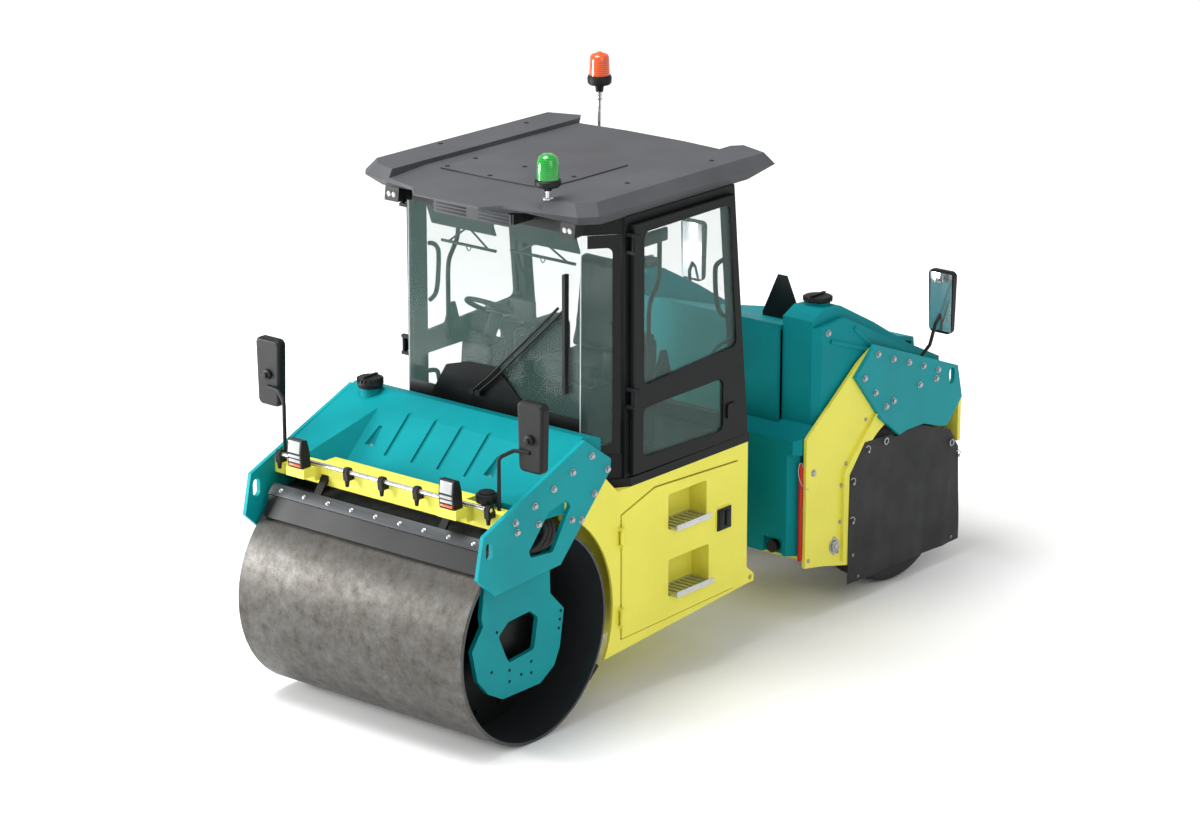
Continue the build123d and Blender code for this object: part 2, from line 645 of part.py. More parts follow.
with BuildPart() as cab_rails:
    for shift in (0, 46):
        bar((glass_x + 12, wiper_y + shift, wiper_z), (glass_x + 40, wiper_y + shift, wiper_z), 20)
        bent([(glass_x + 32, wiper_y + shift, wiper_z), (glass_x + 34, 0 + shift, wiper_z + 113),
              (glass_x + 20, blade_y - 46 + shift, wiper_z + 600)], 40, 8)
    slab([(glass_x + 1, wiper_z + 110), (glass_x + 30, wiper_z + 110), (glass_x + 30, wiper_z + 800),
          (glass_x - 10, wiper_z + 800)], blade_y - 10, blade_y + 10)
    add(cab_glass.part, mode=Mode.SUBTRACT)
pieces["cab_rails"] = cab_rails

# Cab doors, hung on pins at the front post
door_pin = 7
post_hinge_x = post_x - 20
post_hinge_y = door_y + 14
door_low = sill_z + 15
door_high = roof_z - 45
door_back = door_front - 1061
door_spots = (sill_z + 474, roof_z - 148)
upper_pane = [(door_front - 92, sill_z + 523), (back_at(sill_z + 567) + 98, sill_z + 567),
              (back_at(roof_z - 97) + 92, roof_z - 97), (door_front - 92, roof_z - 105)]
lower_pane = [(door_front - 88, sill_z + 102), (cab_back + 275, sill_z + 84),
              (cab_back + 275, sill_z + 398),
              (door_front - 88, sill_z + 391)]
with BuildPart() as door_left:
    slab([(door_front, door_low), (back_at(door_low) + 31, door_low - 9),
          (back_at(door_high) + 40, door_high),
          (door_front, door_high)], door_y - door_thick, door_y)
    chamfer(door_left.faces().sort_by(Axis.Y)[-1].edges(), 5)
    slab(upper_pane, door_y - door_thick, door_y, Mode.SUBTRACT, corner=42)
    slab(lower_pane, door_y - door_thick, door_y, Mode.SUBTRACT, corner=42)
    for spot in door_spots:
        block(door_front - 48, post_hinge_x, door_y, door_y + 8, spot - 40, spot + 40)
        bar((post_hinge_x, post_hinge_y, spot - 40), (post_hinge_x, post_hinge_y, spot + 40), door_pin + 7)
        bar((post_hinge_x, post_hinge_y, spot - 40), (post_hinge_x, post_hinge_y, spot + 40),
            door_pin + running_gap,
            Mode.SUBTRACT)
    slab([(cab_back + 165, sill_z + 144), (cab_back + 245, sill_z + 144), (cab_back + 245, sill_z + 234),
          (cab_back + 165, sill_z + 234)], door_y, door_y + 12, corner=16)
door_right = swapped(door_left)
pieces["door_left"] = door_left
pieces["door_right"] = door_right

pane_in = door_y - door_thick + 8
with BuildPart() as door_glass_left:
    slab(upper_pane, pane_in, pane_in + pane, corner=42)
    slab(lower_pane, pane_in, pane_in + pane, corner=42)
door_glass_right = swapped(door_glass_left)
pieces["door_glass_left"] = door_glass_left
pieces["door_glass_right"] = door_glass_right

with BuildPart() as door_pins:
    for spot in door_spots:
        for low in (spot - 60, spot + 41):
            block(post_hinge_x - 11, post_hinge_x + 14, ring_y, post_hinge_y + 14, low, low + 19)
        bar((post_hinge_x, post_hinge_y, spot - 50), (post_hinge_x, post_hinge_y, spot + 50), door_pin)
    mirror(about=Plane.XZ)
pieces["door_pins"] = door_pins

# Swivel joint and steering cylinders
with BuildPart() as swivel_block:
    slab([(swivel_x - 100, bay_low + 30), (swivel_x - 70, bay_low + 6), (swivel_x + 70, bay_low + 6),
          (swivel_x + 70, bay_high - 6),
          (swivel_x - 70, bay_high - 6), (swivel_x - 100, bay_high - 30)], -85, 85)
    bar((swivel_x, 0, bay_low - 60), (swivel_x, 0, bay_high + 60), swivel_pin)
    bar((swivel_x - 100, 0, rock_z), (swivel_x - 320, 0, rock_z), rock_radius)
    for low in (rock_z - 66, rock_z + 26):
        deck([(swivel_x - 55, -120), (swivel_x - 40, -steer_arm - 60), (swivel_x + 45, -steer_arm - 60),
              (swivel_x + 45, steer_arm + 60),
              (swivel_x - 40, steer_arm + 60), (swivel_x - 55, 120)], low, low + 40)
pieces["swivel_block"] = swivel_block

barrel_x = back_x + 80
with BuildPart() as steering_cylinders:
    bar((barrel_x, steer_arm, rock_z), (bay_end - 30, steer_arm, rock_z), rod_radius + 20)
    block(bay_end - 50, bay_end, steer_arm - 45, steer_arm + 45, rock_z - 45, rock_z + 45)
    bar((barrel_x, steer_arm, rock_z), (bay_end - 160, steer_arm, rock_z), rod_radius + running_gap,
        Mode.SUBTRACT)
    mirror(about=Plane.XZ)
pieces["steering_cylinders"] = steering_cylinders

with BuildPart() as rod_left:
    bar((swivel_x, steer_arm, rock_z), (bay_end - 330, steer_arm, rock_z), rod_radius)
    bar((swivel_x, steer_arm, rock_z - 20), (swivel_x, steer_arm, rock_z + 20), 42)
rod_right = swapped(rod_left)
pieces["rod_left"] = rod_left
pieces["rod_right"] = rod_right

# Rear frame
floor_z = 385
floor_top = floor_z + 30
hull_x = rear_x + tyre_radius + 50
tube_x = swivel_x - 120
with BuildPart() as rear_chassis:
    bar((tube_x, 0, rock_z), (face_x - 55, 0, rock_z), rock_radius + 60)
    block(face_x - 55, face_x - 15, -290, 290, floor_z + 15, rear_top_z)
    block(hull_x, face_x - 55, -250, 250, floor_top, rear_top_z)
    block(hull_x + 20, face_x - 15, -290, 290, floor_z, floor_top)
    bar((tube_x, 0, rock_z), (face_x - 125, 0, rock_z), rock_radius + running_gap, Mode.SUBTRACT)
    block(hull_x + 20, face_x - 110, -rear_half + 5, rear_half - 5, floor_z, floor_top)
pieces["rear_chassis"] = rear_chassis

hood_back = tail_x + 65.5
lid_x = hood_back - 22
lid_z = rear_top_z + 18
lid_pin = 6
lid_spots = (-400, 400)
with BuildPart() as rear_deck:
    block(tail_x + 25.5, hull_x, 5 - rear_half, rear_half - 5, rear_deck_z, rear_top_z)
    block(tail_x, tail_x + 30.5, -rear_half - 10, rear_half + 10, rear_top_z - 390, rear_top_z - 90)
    block(tail_x + 20.5, tail_x + 45.5, 120 - rear_half, rear_half - 120, rear_top_z - 120, rear_deck_z)
    for spot in lid_spots:
        for middle in (spot - 45, spot + 45):
            bar((lid_x, middle - 8, lid_z), (lid_x, middle + 8, lid_z), lid_pin + 7)
            block(lid_x - lid_pin - 7, lid_x + 8, middle - 8, middle + 8, rear_top_z, lid_z)
        bar((lid_x, spot - 45, lid_z), (lid_x, spot + 45, lid_z), lid_pin)
pieces["rear_deck"] = rear_deck

carrier_y = (tyre_inner_y + tyre_outer_y) / 2
carrier_half = tyre_gap / 2 - 50
axle_radius = 60
with BuildPart() as wheel_carriers:
    slab([(rear_x - 150, rear_deck_z), (rear_x + 150, rear_deck_z), (rear_x + 90, tyre_radius),
          (rear_x - 90, tyre_radius)],
         carrier_y - carrier_half, carrier_y + carrier_half)
    bar((rear_x, carrier_y - carrier_half, tyre_radius), (rear_x, carrier_y + carrier_half, tyre_radius),
        axle_radius * 2)
    bar((rear_x, carrier_y - carrier_half, tyre_radius), (rear_x, carrier_y + carrier_half, tyre_radius),
        axle_radius + running_gap, Mode.SUBTRACT)
    mirror(about=Plane.XZ)
pieces["wheel_carriers"] = wheel_carriers

fender_x = face_x - 97
fender_in = rear_half - 5
flange_line = near_tyre((1.181, -0.4444), (1.181, 0.587), (0.5926, 1.137), (0.6056, 1.15), (1.2, 0.5944),
                        (1.2, -0.4444))
with BuildPart() as fender_left:
    slab(near_tyre((0.6833, 1.922), (0.9333, 1.798)) + [(fender_x, rear_top_z + 5),
                                                        (fender_x, floor_z - 37)]
         + near_tyre((1.528, -0.4185), (1.026, -0.5389), (0.2593, -0.5389), (-0.7037, 1.074),
                     (-0.7037, 1.448)), fender_in, rear_in)
    bar((rear_x, fender_in - 10, tyre_radius), (rear_x, rear_in + 10, tyre_radius), fender_radius,
        Mode.SUBTRACT)
    slab(flange_line, rear_in, rear_out - 6)
fender_right = swapped(fender_left)
pieces["fender_left"] = fender_left
pieces["fender_right"] = fender_right

plate_back = near_tyre((-0.9704, 1.359), (-1.069, 0.9611), (-0.7741, 0.6796), (-0.6185, 0.7111),
                       (-0.3093, 0.8148), (0.0167, 0.8185))
plate_front = near_tyre((0.1667, 0.7944), (0.5278, 1.069), (1.033, 1.665), (0.6759, 1.972))
lash_rear = near_tyre((-0.8444, 1.261))[0]
with BuildPart() as rear_plate_left:
    slab(plate_back + plate_front, rear_in, rear_out)
    chamfer(rear_plate_left.faces().sort_by(Axis.Y)[-1].edges(), 4)
    with BuildSketch(Plane.XZ.offset(-rear_out)):
        with Locations(lash_rear):
            SlotOverall(lash_tall, lash_wide, rotation=90)
    extrude(amount=plate_thick, mode=Mode.SUBTRACT)
rear_plate_right = swapped(rear_plate_left)
pieces["rear_plate_left"] = rear_plate_left
pieces["rear_plate_right"] = rear_plate_right

apron_front = near_tyre((1.072, -0.7611), (1.05, 0.5296), (0.7704, 0.8481), (0.2889, 0.8185),
                        (0.1667, 0.7685), (0.0167, 0.7926))
apron_back = near_tyre((-0.3093, 0.7889), (-0.6185, 0.6852), (-0.7741, 0.6537), (-0.9148, 0.5833),
                       (-1.085, 0.3444), (-1.122, -0.7889))
with BuildPart() as apron_left:
    slab(apron_front + apron_back, rear_in + 0.3, rear_in + 6.3)
apron_right = swapped(apron_left)
pieces["apron_left"] = apron_left
pieces["apron_right"] = apron_right

# Rear tanks and hood
hood_half = rear_half - 290
tank_in = hood_half + 15
tank_step = rear_half - 60
tank_out = rear_half - 6
tank_front = face_x - 233
hood_front = face_x - 205
tank_face = face_x - 45
lower_top = rear_top_z - 10
notch_top = lower_top - 85
shelf_top = lower_top + 60
plug_y = tank_in + 85
tank_crest = [(tank_front - 110, rear_top_z + 740), (hull_x, rear_top_z + 730),
              (hull_x - 350, rear_top_z + 550),
              (hull_x - 710, rear_top_z + 340), (tail_x + 155.5, rear_top_z + 180), (tail_x + 155.5,
                                                                                     rear_top_z)]
tank_shoulder = [(hull_x, rear_top_z + 660), (hull_x - 350, rear_top_z + 490),
                 (hull_x - 710, rear_top_z + 300),
                 (tail_x + 205.5, rear_top_z + 170), (tail_x + 205.5, rear_top_z)]
tank_ribs = [((tank_front - 132, rear_top_z + 548), (hull_x - 235, rear_top_z + 412)),
             ((hull_x - 86, rear_top_z + 580), (hull_x - 240, rear_top_z + 450))]
filler_x = face_x - 450
filler_y = tank_in + 95
filler_z = rear_top_z + 755
with BuildPart() as rear_tank_left:
    deck([(tank_face, 300), (tank_face, tank_step - 30), (tank_face - 60, tank_step + 20),
          (hull_x, tank_step + 20),
          (hull_x, 300)], floor_top, notch_top)
    deck([(tank_face, 300), (tank_face, tank_step + 10), (tank_face - 45, tank_out - 6),
          (hull_x, tank_out - 6),
          (hull_x, 300)], notch_top, rear_top_z)
    deck([(tank_face, 300), (tank_face, tank_step + 10), (tank_face - 45, tank_out - 6),
          (hull_x, tank_out - 6),
          (hull_x, tank_in), (hood_front + 12, tank_in), (hood_front + 12, 300)], rear_top_z, shelf_top)
    slab([(tank_face + 10, lower_top), (tank_front, shelf_top), (tank_front, shelf_top + 10),
          (tank_face + 10, shelf_top + 10)], 290, tank_out, Mode.SUBTRACT)
    block(tank_face - 30, tank_face + 5, plug_y - 70, plug_y + 70, floor_top, floor_top + 100,
          Mode.SUBTRACT)
    slab([(tank_front, rear_top_z), (tank_front, rear_top_z + 690)] + tank_crest, tank_in, tank_step)
    slab([(tank_front - 45, rear_top_z), (tank_front - 45, rear_top_z + 650)] + tank_shoulder, tank_step,
         tank_out - 12)
    deck([(tank_front, tank_step), (tank_front - 45, tank_out - 12), (tank_front - 45, tank_step)],
         shelf_top, rear_top_z + 650)
    for start, end in tank_ribs:
        bar((start[0], tank_out - 20, start[1]), (end[0], tank_out - 20, end[1]), 19)
    upright(filler_x, filler_y, [(0, filler_z - 75), (94, filler_z - 75), (84, filler_z - 45),
                                 (75, filler_z - 20),
                                 (75, filler_z), (0, filler_z)])
rear_tank_right = swapped(rear_tank_left)
pieces["rear_tank_left"] = rear_tank_left
pieces["rear_tank_right"] = rear_tank_right

hood_low = rear_top_z + 10
sign_x = rear_x + 120
with BuildPart() as hood:
    slab([(hood_front, hood_low), (hood_front, rear_top_z + 640), (sign_x + 30, rear_top_z + 410),
          (tail_x + 105.5, rear_top_z + 250),
          (hood_back, hood_low)], -hood_half, hood_half)
    slab([(hood_front - 26, hood_low), (hood_front - 26, rear_top_z + 602), (sign_x + 26, rear_top_z + 382),
          (tail_x + 129.5, rear_top_z + 228), (hood_back + 28,
                                               hood_low)], -hood_half, hood_half, Mode.SUBTRACT)
    for spot in lid_spots:
        bar((lid_x, spot - 34, lid_z), (lid_x, spot + 34, lid_z), lid_pin + 6)
        block(lid_x, hood_back + 8, spot - 34, spot + 34, hood_low, lid_z + 4)
        bar((lid_x, spot - 34, lid_z), (lid_x, spot + 34, lid_z), lid_pin + running_gap, Mode.SUBTRACT)
pieces["hood"] = hood

with BuildPart() as sign_plate:
    cross([(-150, rear_top_z + 396), (150, rear_top_z + 396), (150, rear_top_z + 430),
           (35, rear_top_z + 685),
           (-35, rear_top_z + 685), (-150, rear_top_z + 430)], sign_x, sign_x + 6)
    add(hood.part, mode=Mode.SUBTRACT)
pieces["sign_plate"] = sign_plate

with BuildPart() as engine:
    block(tail_x + 275.5, hull_x - 100, -420, 420, rear_top_z, rear_top_z + 190)
pieces["engine"] = engine

foot_x, foot_top = near_tyre((-0.2593, 1.626))[0]
rear_mirror_x = foot_x - 82
rear_mirror_y = rear_half + 122
with BuildPart() as rear_fittings:
    upright(filler_x, filler_y, [(0, filler_z), (82, filler_z), (88, filler_z + 10), (80, filler_z + 30),
                                 (0, filler_z + 34)])
    bar((tank_face - 30, plug_y, floor_top + 45), (tank_face + 8, plug_y, floor_top + 45), 38)
    bent([(foot_x, rear_half + 30, foot_top), (foot_x, rear_half + 90, foot_top + 82),
          (foot_x - 20, rear_half + 115, foot_top + 222), (rear_mirror_x, rear_mirror_y,
                                                           foot_top + 292)], 20, 11)
    mirror_head(rear_mirror_x - 22, rear_mirror_x + 24, rear_mirror_y, foot_top + 150, 0)
    mirror(about=Plane.XZ)
    add(rear_plate_left.part, mode=Mode.SUBTRACT)
    add(rear_plate_right.part, mode=Mode.SUBTRACT)
pieces["rear_fittings"] = rear_fittings

with BuildPart() as lock_bar:
    bar((fender_x + 13, rear_half - 15, floor_z + 9), (fender_x + 13, rear_half - 15, notch_top - 52), 13)
    for low in (floor_z + 60, notch_top - 150):
        block(fender_x - 30, fender_x + 13, rear_half - 23, fender_in, low, low + 40)
pieces["lock_bar"] = lock_bar

# Rear wheels, two smooth tyres on one axle through each carrier
with BuildPart() as tyres_left:
    for middle in (tyre_inner_y, tyre_outer_y):
        turned(rear_x, tyre_radius, [(middle - 112, rim_radius), (middle - tyre_width / 2, rim_radius + 90),
                                     (middle - tyre_width / 2,
                                      tyre_radius - 70), (middle - tyre_width / 2 + 16, tyre_radius - 24),
                                     (middle - tyre_width / 2 + 50,
                                      tyre_radius), (middle + tyre_width / 2 - 50, tyre_radius),
                                     (middle + tyre_width / 2 - 16,
                                      tyre_radius - 24), (middle + tyre_width / 2, tyre_radius - 70),
                                     (middle + tyre_width / 2, rim_radius + 90), (middle + 112,
                                                                                  rim_radius)])
tyres_right = swapped(tyres_left)
pieces["tyres_left"] = tyres_left
pieces["tyres_right"] = tyres_right

with BuildPart() as rims_left:
    for middle, dish in ((tyre_inner_y, 60), (tyre_outer_y, -60)):
        turned(rear_x, tyre_radius, [(middle - 108, rim_radius), (middle - 108, rim_radius - 22),
                                     (middle + dish - 14, rim_radius - 40),
                                     (middle + dish - 14, 0), (middle + dish + 14, 0), (middle + dish + 14,
                                                                                        rim_radius - 40),
                                     (middle + 108, rim_radius - 22), (middle + 108, rim_radius)])
    bar((rear_x, tyre_inner_y + 60, tyre_radius), (rear_x, tyre_outer_y - 60, tyre_radius), axle_radius)
rims_right = swapped(rims_left)
pieces["rims_left"] = rims_left
pieces["rims_right"] = rims_right

for name, piece in pieces.items():
    piece.part.label = name
    export_step(piece.part, f"parts/{name}.step")
print(len(pieces), "pieces")
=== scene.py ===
from math import cos, pi, radians, sin

import bmesh
import bpy
from mathutils import Matrix, Vector


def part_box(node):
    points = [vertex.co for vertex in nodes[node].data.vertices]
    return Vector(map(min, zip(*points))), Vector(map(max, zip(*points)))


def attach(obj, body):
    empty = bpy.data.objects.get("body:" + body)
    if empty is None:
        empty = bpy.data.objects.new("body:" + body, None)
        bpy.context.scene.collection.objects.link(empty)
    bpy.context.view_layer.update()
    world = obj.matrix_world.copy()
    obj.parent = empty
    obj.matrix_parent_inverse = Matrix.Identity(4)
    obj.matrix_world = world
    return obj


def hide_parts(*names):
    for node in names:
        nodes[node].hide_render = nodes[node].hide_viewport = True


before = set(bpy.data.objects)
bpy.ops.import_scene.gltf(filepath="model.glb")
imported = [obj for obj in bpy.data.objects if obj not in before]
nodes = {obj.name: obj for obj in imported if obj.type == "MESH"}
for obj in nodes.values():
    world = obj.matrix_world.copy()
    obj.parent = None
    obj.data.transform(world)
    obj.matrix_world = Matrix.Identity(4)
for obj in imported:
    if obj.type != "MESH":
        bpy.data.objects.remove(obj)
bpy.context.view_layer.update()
scene = bpy.context.scene
print("frame loaded,", len(nodes), "CAD nodes")


# Small helpers for colour, nodes and objects
def toLinear(hexColour):
    parts = [int(hexColour[i:i + 2], 16) / 255 for i in (1, 3, 5)]
    return [p / 12.92 if p <= 0.04045 else ((p + 0.055) / 1.055) ** 2.4 for p in parts] + [1.0]


def addNode(tree, kind, settings=None, values=None, links=None, stops=None, into=None):
    node = tree.nodes.new("ShaderNode" + kind)
    for name, value in (settings or {}).items():
        setattr(node, name, value)
    for name, value in (values or {}).items():
        node.inputs[name].default_value = value
    for name, source in (links or {}).items():
        tree.links.new(source, node.inputs[name])
    if stops:  # places and tones along a colour ramp, a tone as hex or as one number
        while len(node.color_ramp.elements) < len(stops):
            node.color_ramp.elements.new(0.5)
        for element, (place, tone) in zip(node.color_ramp.elements, stops):
            element.position = place
            element.color = toLinear(tone) if isinstance(tone, str) else (tone, tone, tone, 1)
    if into:
        tree.links.new(node.outputs[0], into)
    return node


def deselectAll():
    if bpy.context.mode != "OBJECT":
        bpy.ops.object.mode_set(mode="OBJECT")
    bpy.ops.object.select_all(action="DESELECT")


def makeActive(piece):
    deselectAll()
    piece.select_set(True)
    bpy.context.view_layer.objects.active = piece


def settle(piece):
    makeActive(piece)
    bpy.ops.object.transform_apply(location=True, rotation=True, scale=True)


def applyModifiers(piece):
    makeActive(piece)
    for modifier in list(piece.modifiers):
        bpy.ops.object.modifier_apply(modifier=modifier.name)


def faceOutward(piece):
    makeActive(piece)
    bpy.ops.object.mode_set(mode="EDIT")
    bpy.ops.mesh.select_all(action="SELECT")
    bpy.ops.mesh.normals_make_consistent(inside=False)
    bpy.ops.object.mode_set(mode="OBJECT")


def roundEdges(piece, width, segments=2):
    bevel = piece.modifiers.new("edgeRounding", "BEVEL")
    bevel.width = width
    bevel.segments = segments
    bevel.limit_method = "ANGLE"
    applyModifiers(piece)


def addBox(low, high, rounding=0.0):
    deselectAll()
    centre = [(a + b) / 2 for a, b in zip(low, high)]
    bpy.ops.mesh.primitive_cube_add(size=1, location=centre)
    piece = bpy.context.object
    piece.scale = [b - a for a, b in zip(low, high)]
    settle(piece)
    if rounding:
        roundEdges(piece, rounding)
    return piece


def addRod(start, end, radius, sides=20, rounding=0.0):
    deselectAll()
    run = Vector(end) - Vector(start)
    bpy.ops.mesh.primitive_cylinder_add(vertices=sides, radius=radius, depth=run.length,
                                        location=(Vector(start) + Vector(end)) / 2)
    piece = bpy.context.object
    piece.rotation_euler = run.to_track_quat("Z", "Y").to_euler()
    settle(piece)
    if rounding:
        roundEdges(piece, rounding)
    return piece


# An outline in x and z drawn out along y, or an upright one in x and y drawn out along z
def addPrism(points, low, high, rounding=0.0, segments=2, upright=False):
    data = bpy.data.meshes.new("prism")
    count = len(points)
    ring = [(a, b, level) if upright else (a, level, b) for level in (low, high) for a, b in points]
    faces = [tuple(range(count - 1, -1, -1)), tuple(range(count, 2 * count))]
    faces += [(i, (i + 1) % count, count + (i + 1) % count, count + i) for i in range(count)]
    data.from_pydata(ring, [], faces)
    piece = bpy.data.objects.new("prism", data)
    scene.collection.objects.link(piece)
    faceOutward(piece)
    if rounding:
        roundEdges(piece, rounding, segments)
    return piece


def tubeCurve(name, points, radius, rings):
    data = bpy.data.curves.new(name, "CURVE")
    data.dimensions = "3D"
    line = data.splines.new("NURBS")
    line.points.add(len(points) - 1)
    for point, place in zip(line.points, points):
        point.co = (*place, 1)
    line.use_endpoint_u = True
    line.order_u = 3
    data.bevel_depth = radius
    data.bevel_resolution = rings
    data.use_fill_caps = True
    piece = bpy.data.objects.new(name, data)
    scene.collection.objects.link(piece)
    return piece


def addTube(points, radius, sides=10):
    makeActive(tubeCurve("tube", points, radius, max(1, sides // 4)))
    bpy.ops.object.convert(target="MESH")
    return bpy.context.object


def addTurned(profile, x, y, steps=36):
    data = bpy.data.meshes.new("turned")
    data.from_pydata([(r, 0, z) for r, z in profile], [(i, i + 1) for i in range(len(profile) - 1)], [])
    piece = bpy.data.objects.new("turned", data)
    scene.collection.objects.link(piece)
    turning = piece.modifiers.new("turning", "SCREW")
    turning.steps = steps
    turning.render_steps = steps
    turning.use_merge_vertices = True
    turning.merge_threshold = 0.0001
    applyModifiers(piece)
    faceOutward(piece)
    piece.data.transform(Matrix.Translation((x, y, 0)))
    return piece


def copyAt(model, matrix):
    twin = model.copy()
    twin.data = model.data.copy()
    twin.data.transform(matrix)
    scene.collection.objects.link(twin)
    return twin


def mirrored(piece):
    twin = copyAt(piece, Matrix.Diagonal((1, -1, 1, 1)))
    makeActive(twin)
    bpy.ops.object.mode_set(mode="EDIT")
    bpy.ops.mesh.select_all(action="SELECT")
    bpy.ops.mesh.flip_normals()
    bpy.ops.object.mode_set(mode="OBJECT")
    return twin


def joinAll(pieces):
    deselectAll()
    for piece in pieces:
        piece.select_set(True)
    bpy.context.view_layer.objects.active = pieces[0]
    bpy.ops.object.join()
    return bpy.context.object


def finishPiece(piece, name, body, material, smooth=40):
    settle(piece)
    piece.name = name
    piece.data.name = name
    bpy.ops.object.shade_smooth_by_angle(angle=radians(smooth))
    piece.data.materials.clear()
    piece.data.materials.append(material)
    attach(piece, body)
    return piece


def finishPair(piece, name, body, material, smooth=40):
    twin = mirrored(piece)
    for half, side in ((piece, "left"), (twin, "right")):
        finishPiece(half, f"{name}.{side}", body.format(side=side), material, smooth)


# Materials, all patterns on Object coordinates in metres
def newMaterial(name):
    material = bpy.data.materials.new(name)
    material.use_nodes = True
    tree = material.node_tree
    shader = tree.nodes["Principled BSDF"]
    place = addNode(tree, "TexCoord").outputs["Object"]
    return material, tree, shader, place


# Scales of noise and bands from the real size of a grain or thread in millimetres
def grainScale(sizeMm):
    return 1000.0 / sizeMm


def bandScale(sizeMm):
    return 2 * pi / 20 * 1000.0 / sizeMm  # a wave at scale 1 repeats every 2 pi / 20 of a metre


def paintMaterial(name, light, dark, gloss, peelMm=3.5, peel=0.06, shine=0.22, patchMm=420):
    # Coated surface: a broad faint drift of tone, a fine skin of grain in gloss and bump
    material, tree, shader, place = newMaterial(name)
    broad, fine = [addNode(tree, "TexNoise", links={"Vector": place},
                           values={"Scale": grainScale(size), "Detail": detail, "Roughness": 0.55})
                   for size, detail in ((patchMm, 4.0), (peelMm, 2.0))]
    addNode(tree, "ValToRGB", links={"Fac": broad.outputs["Fac"]}, stops=[(0.36, dark), (0.64, light)],
            into=shader.inputs["Base Color"])
    addNode(tree, "ValToRGB", links={"Fac": broad.outputs["Fac"]},
            stops=[(0.3, gloss - 0.06), (0.7, gloss + 0.07)], into=shader.inputs["Roughness"])
    addNode(tree, "Bump", values={"Strength": peel, "Distance": 0.0006},
            links={"Height": fine.outputs["Fac"]}, into=shader.inputs["Normal"])
    shader.inputs["Specular IOR Level"].default_value = shine
    return material


tealPaint = paintMaterial("tealPaintedSteel", "#0A898E", "#067F85", 0.42, peelMm=4.0, peel=0.05, shine=0.12)
tealTank = paintMaterial("tealMouldedPolyethylene", "#057D83", "#03757B", 0.52, peelMm=2.2, peel=0.16,
                         shine=0.07)
yellowPaint = paintMaterial("yellowPaintedSteel", "#DCD653", "#D5CF4C", 0.38, peelMm=4.0, peel=0.05)
cabPaint = paintMaterial("charcoalPaintedSteel", "#151718", "#101212", 0.46, peelMm=3.0, peel=0.08,
                         shine=0.14)
roofPlastic = paintMaterial("charcoalMouldedPlastic", "#4A4B4E", "#434447", 0.58, peelMm=1.6, peel=0.22)
blackSteel = paintMaterial("blackPaintedSteel", "#0E0F10", "#0A0B0C", 0.45, peelMm=3.0, peel=0.08)
blackPlastic = paintMaterial("blackMouldedPlastic", "#131415", "#0E0F10", 0.50, peelMm=1.4, peel=0.20)
redPaint = paintMaterial("redPaintedSteel", "#B41F17", "#A21A12", 0.35, peelMm=3.0, peel=0.05)


# The drum's axle in x and z, the drum's radius, and the depth of its bare skin
low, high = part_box("drum_shell")
drumSet = {"axleX": (low[0] + high[0]) / 2, "axleZ": (low[2] + high[2]) / 2,
           "radius": (high[2] - low[2]) / 2, "skin": 0.008}


def wornSteelMaterial():
    # Rolled steel: fine grey and faint brown mottling over broad worn patches, small pits, dark paint inside
    material, tree, shader, place = newMaterial("wornRolledSteel")
    stretched = addNode(tree, "Mapping", values={"Scale": (1.0, 1.3, 1.0)}, links={"Vector": place})
    blotch, patches, pits = [
        addNode(tree, "TexNoise", links={"Vector": source},
                values={"Scale": grainScale(size), "Detail": detail, "Roughness": rough}).outputs["Fac"]
        for size, detail, rough, source in ((70, 9.0, 0.70, place),
                                            (300, 4.0, 0.6, stretched.outputs["Vector"]),
                                            (9, 3.0, 0.55, place))]
    tone = addNode(tree, "ValToRGB", links={"Fac": blotch},
                   stops=[(0.28, "#504D49"), (0.42, "#5C5A57"), (0.55, "#636260"), (0.72, "#6B6B6A")])
    worn = addNode(tree, "ValToRGB", links={"Fac": patches},
                   stops=[(0.32, "#CFCDC8"), (0.5, "#E4E3E1"), (0.68, "#F6F6F5")])
    spots = addNode(tree, "ValToRGB", links={"Fac": pits}, stops=[(0.30, "#B0ACA2"), (0.42, "#FFFFFF")])
    steel = tone.outputs["Color"]
    for layer in (worn, spots):
        mixed = addNode(tree, "Mix", {"data_type": "RGBA", "blend_type": "MULTIPLY"}, {"Factor": 0.5},
                        {"A": steel, "B": layer.outputs["Color"]})
        steel = mixed.outputs["Result"]
    bright = addNode(tree, "BrightContrast", values={"Bright": -0.01, "Contrast": 0.05},
                     links={"Color": steel})
    # Bare steel only on the outside, by the distance from the axle
    apart = addNode(tree, "VectorMath", {"operation": "SUBTRACT"},
                    {1: (drumSet["axleX"], 0, drumSet["axleZ"])}, {0: place})
    across = addNode(tree, "VectorMath", {"operation": "MULTIPLY"}, {1: (1, 0, 1)},
                     {0: apart.outputs["Vector"]})
    reach = addNode(tree, "VectorMath", {"operation": "LENGTH"}, links={0: across.outputs["Vector"]})
    skin = addNode(tree, "Math", {"operation": "GREATER_THAN"}, {1: drumSet["radius"] - drumSet["skin"]},
                   {0: reach.outputs["Value"]})
    body = addNode(tree, "Mix", {"data_type": "RGBA"}, {"A": toLinear("#4A4D50")},
                   {"Factor": skin.outputs["Value"], "B": bright.outputs["Color"]})
    tree.links.new(body.outputs["Result"], shader.inputs["Base Color"])
    addNode(tree, "ValToRGB", links={"Fac": blotch}, stops=[(0.3, 0.52), (0.7, 0.39)],
            into=shader.inputs["Roughness"])
    addNode(tree, "Bump", values={"Strength": 0.25, "Distance": 0.0008}, links={"Height": pits},
            into=shader.inputs["Normal"])
    shader.inputs["Metallic"].default_value = 0.82
    return material


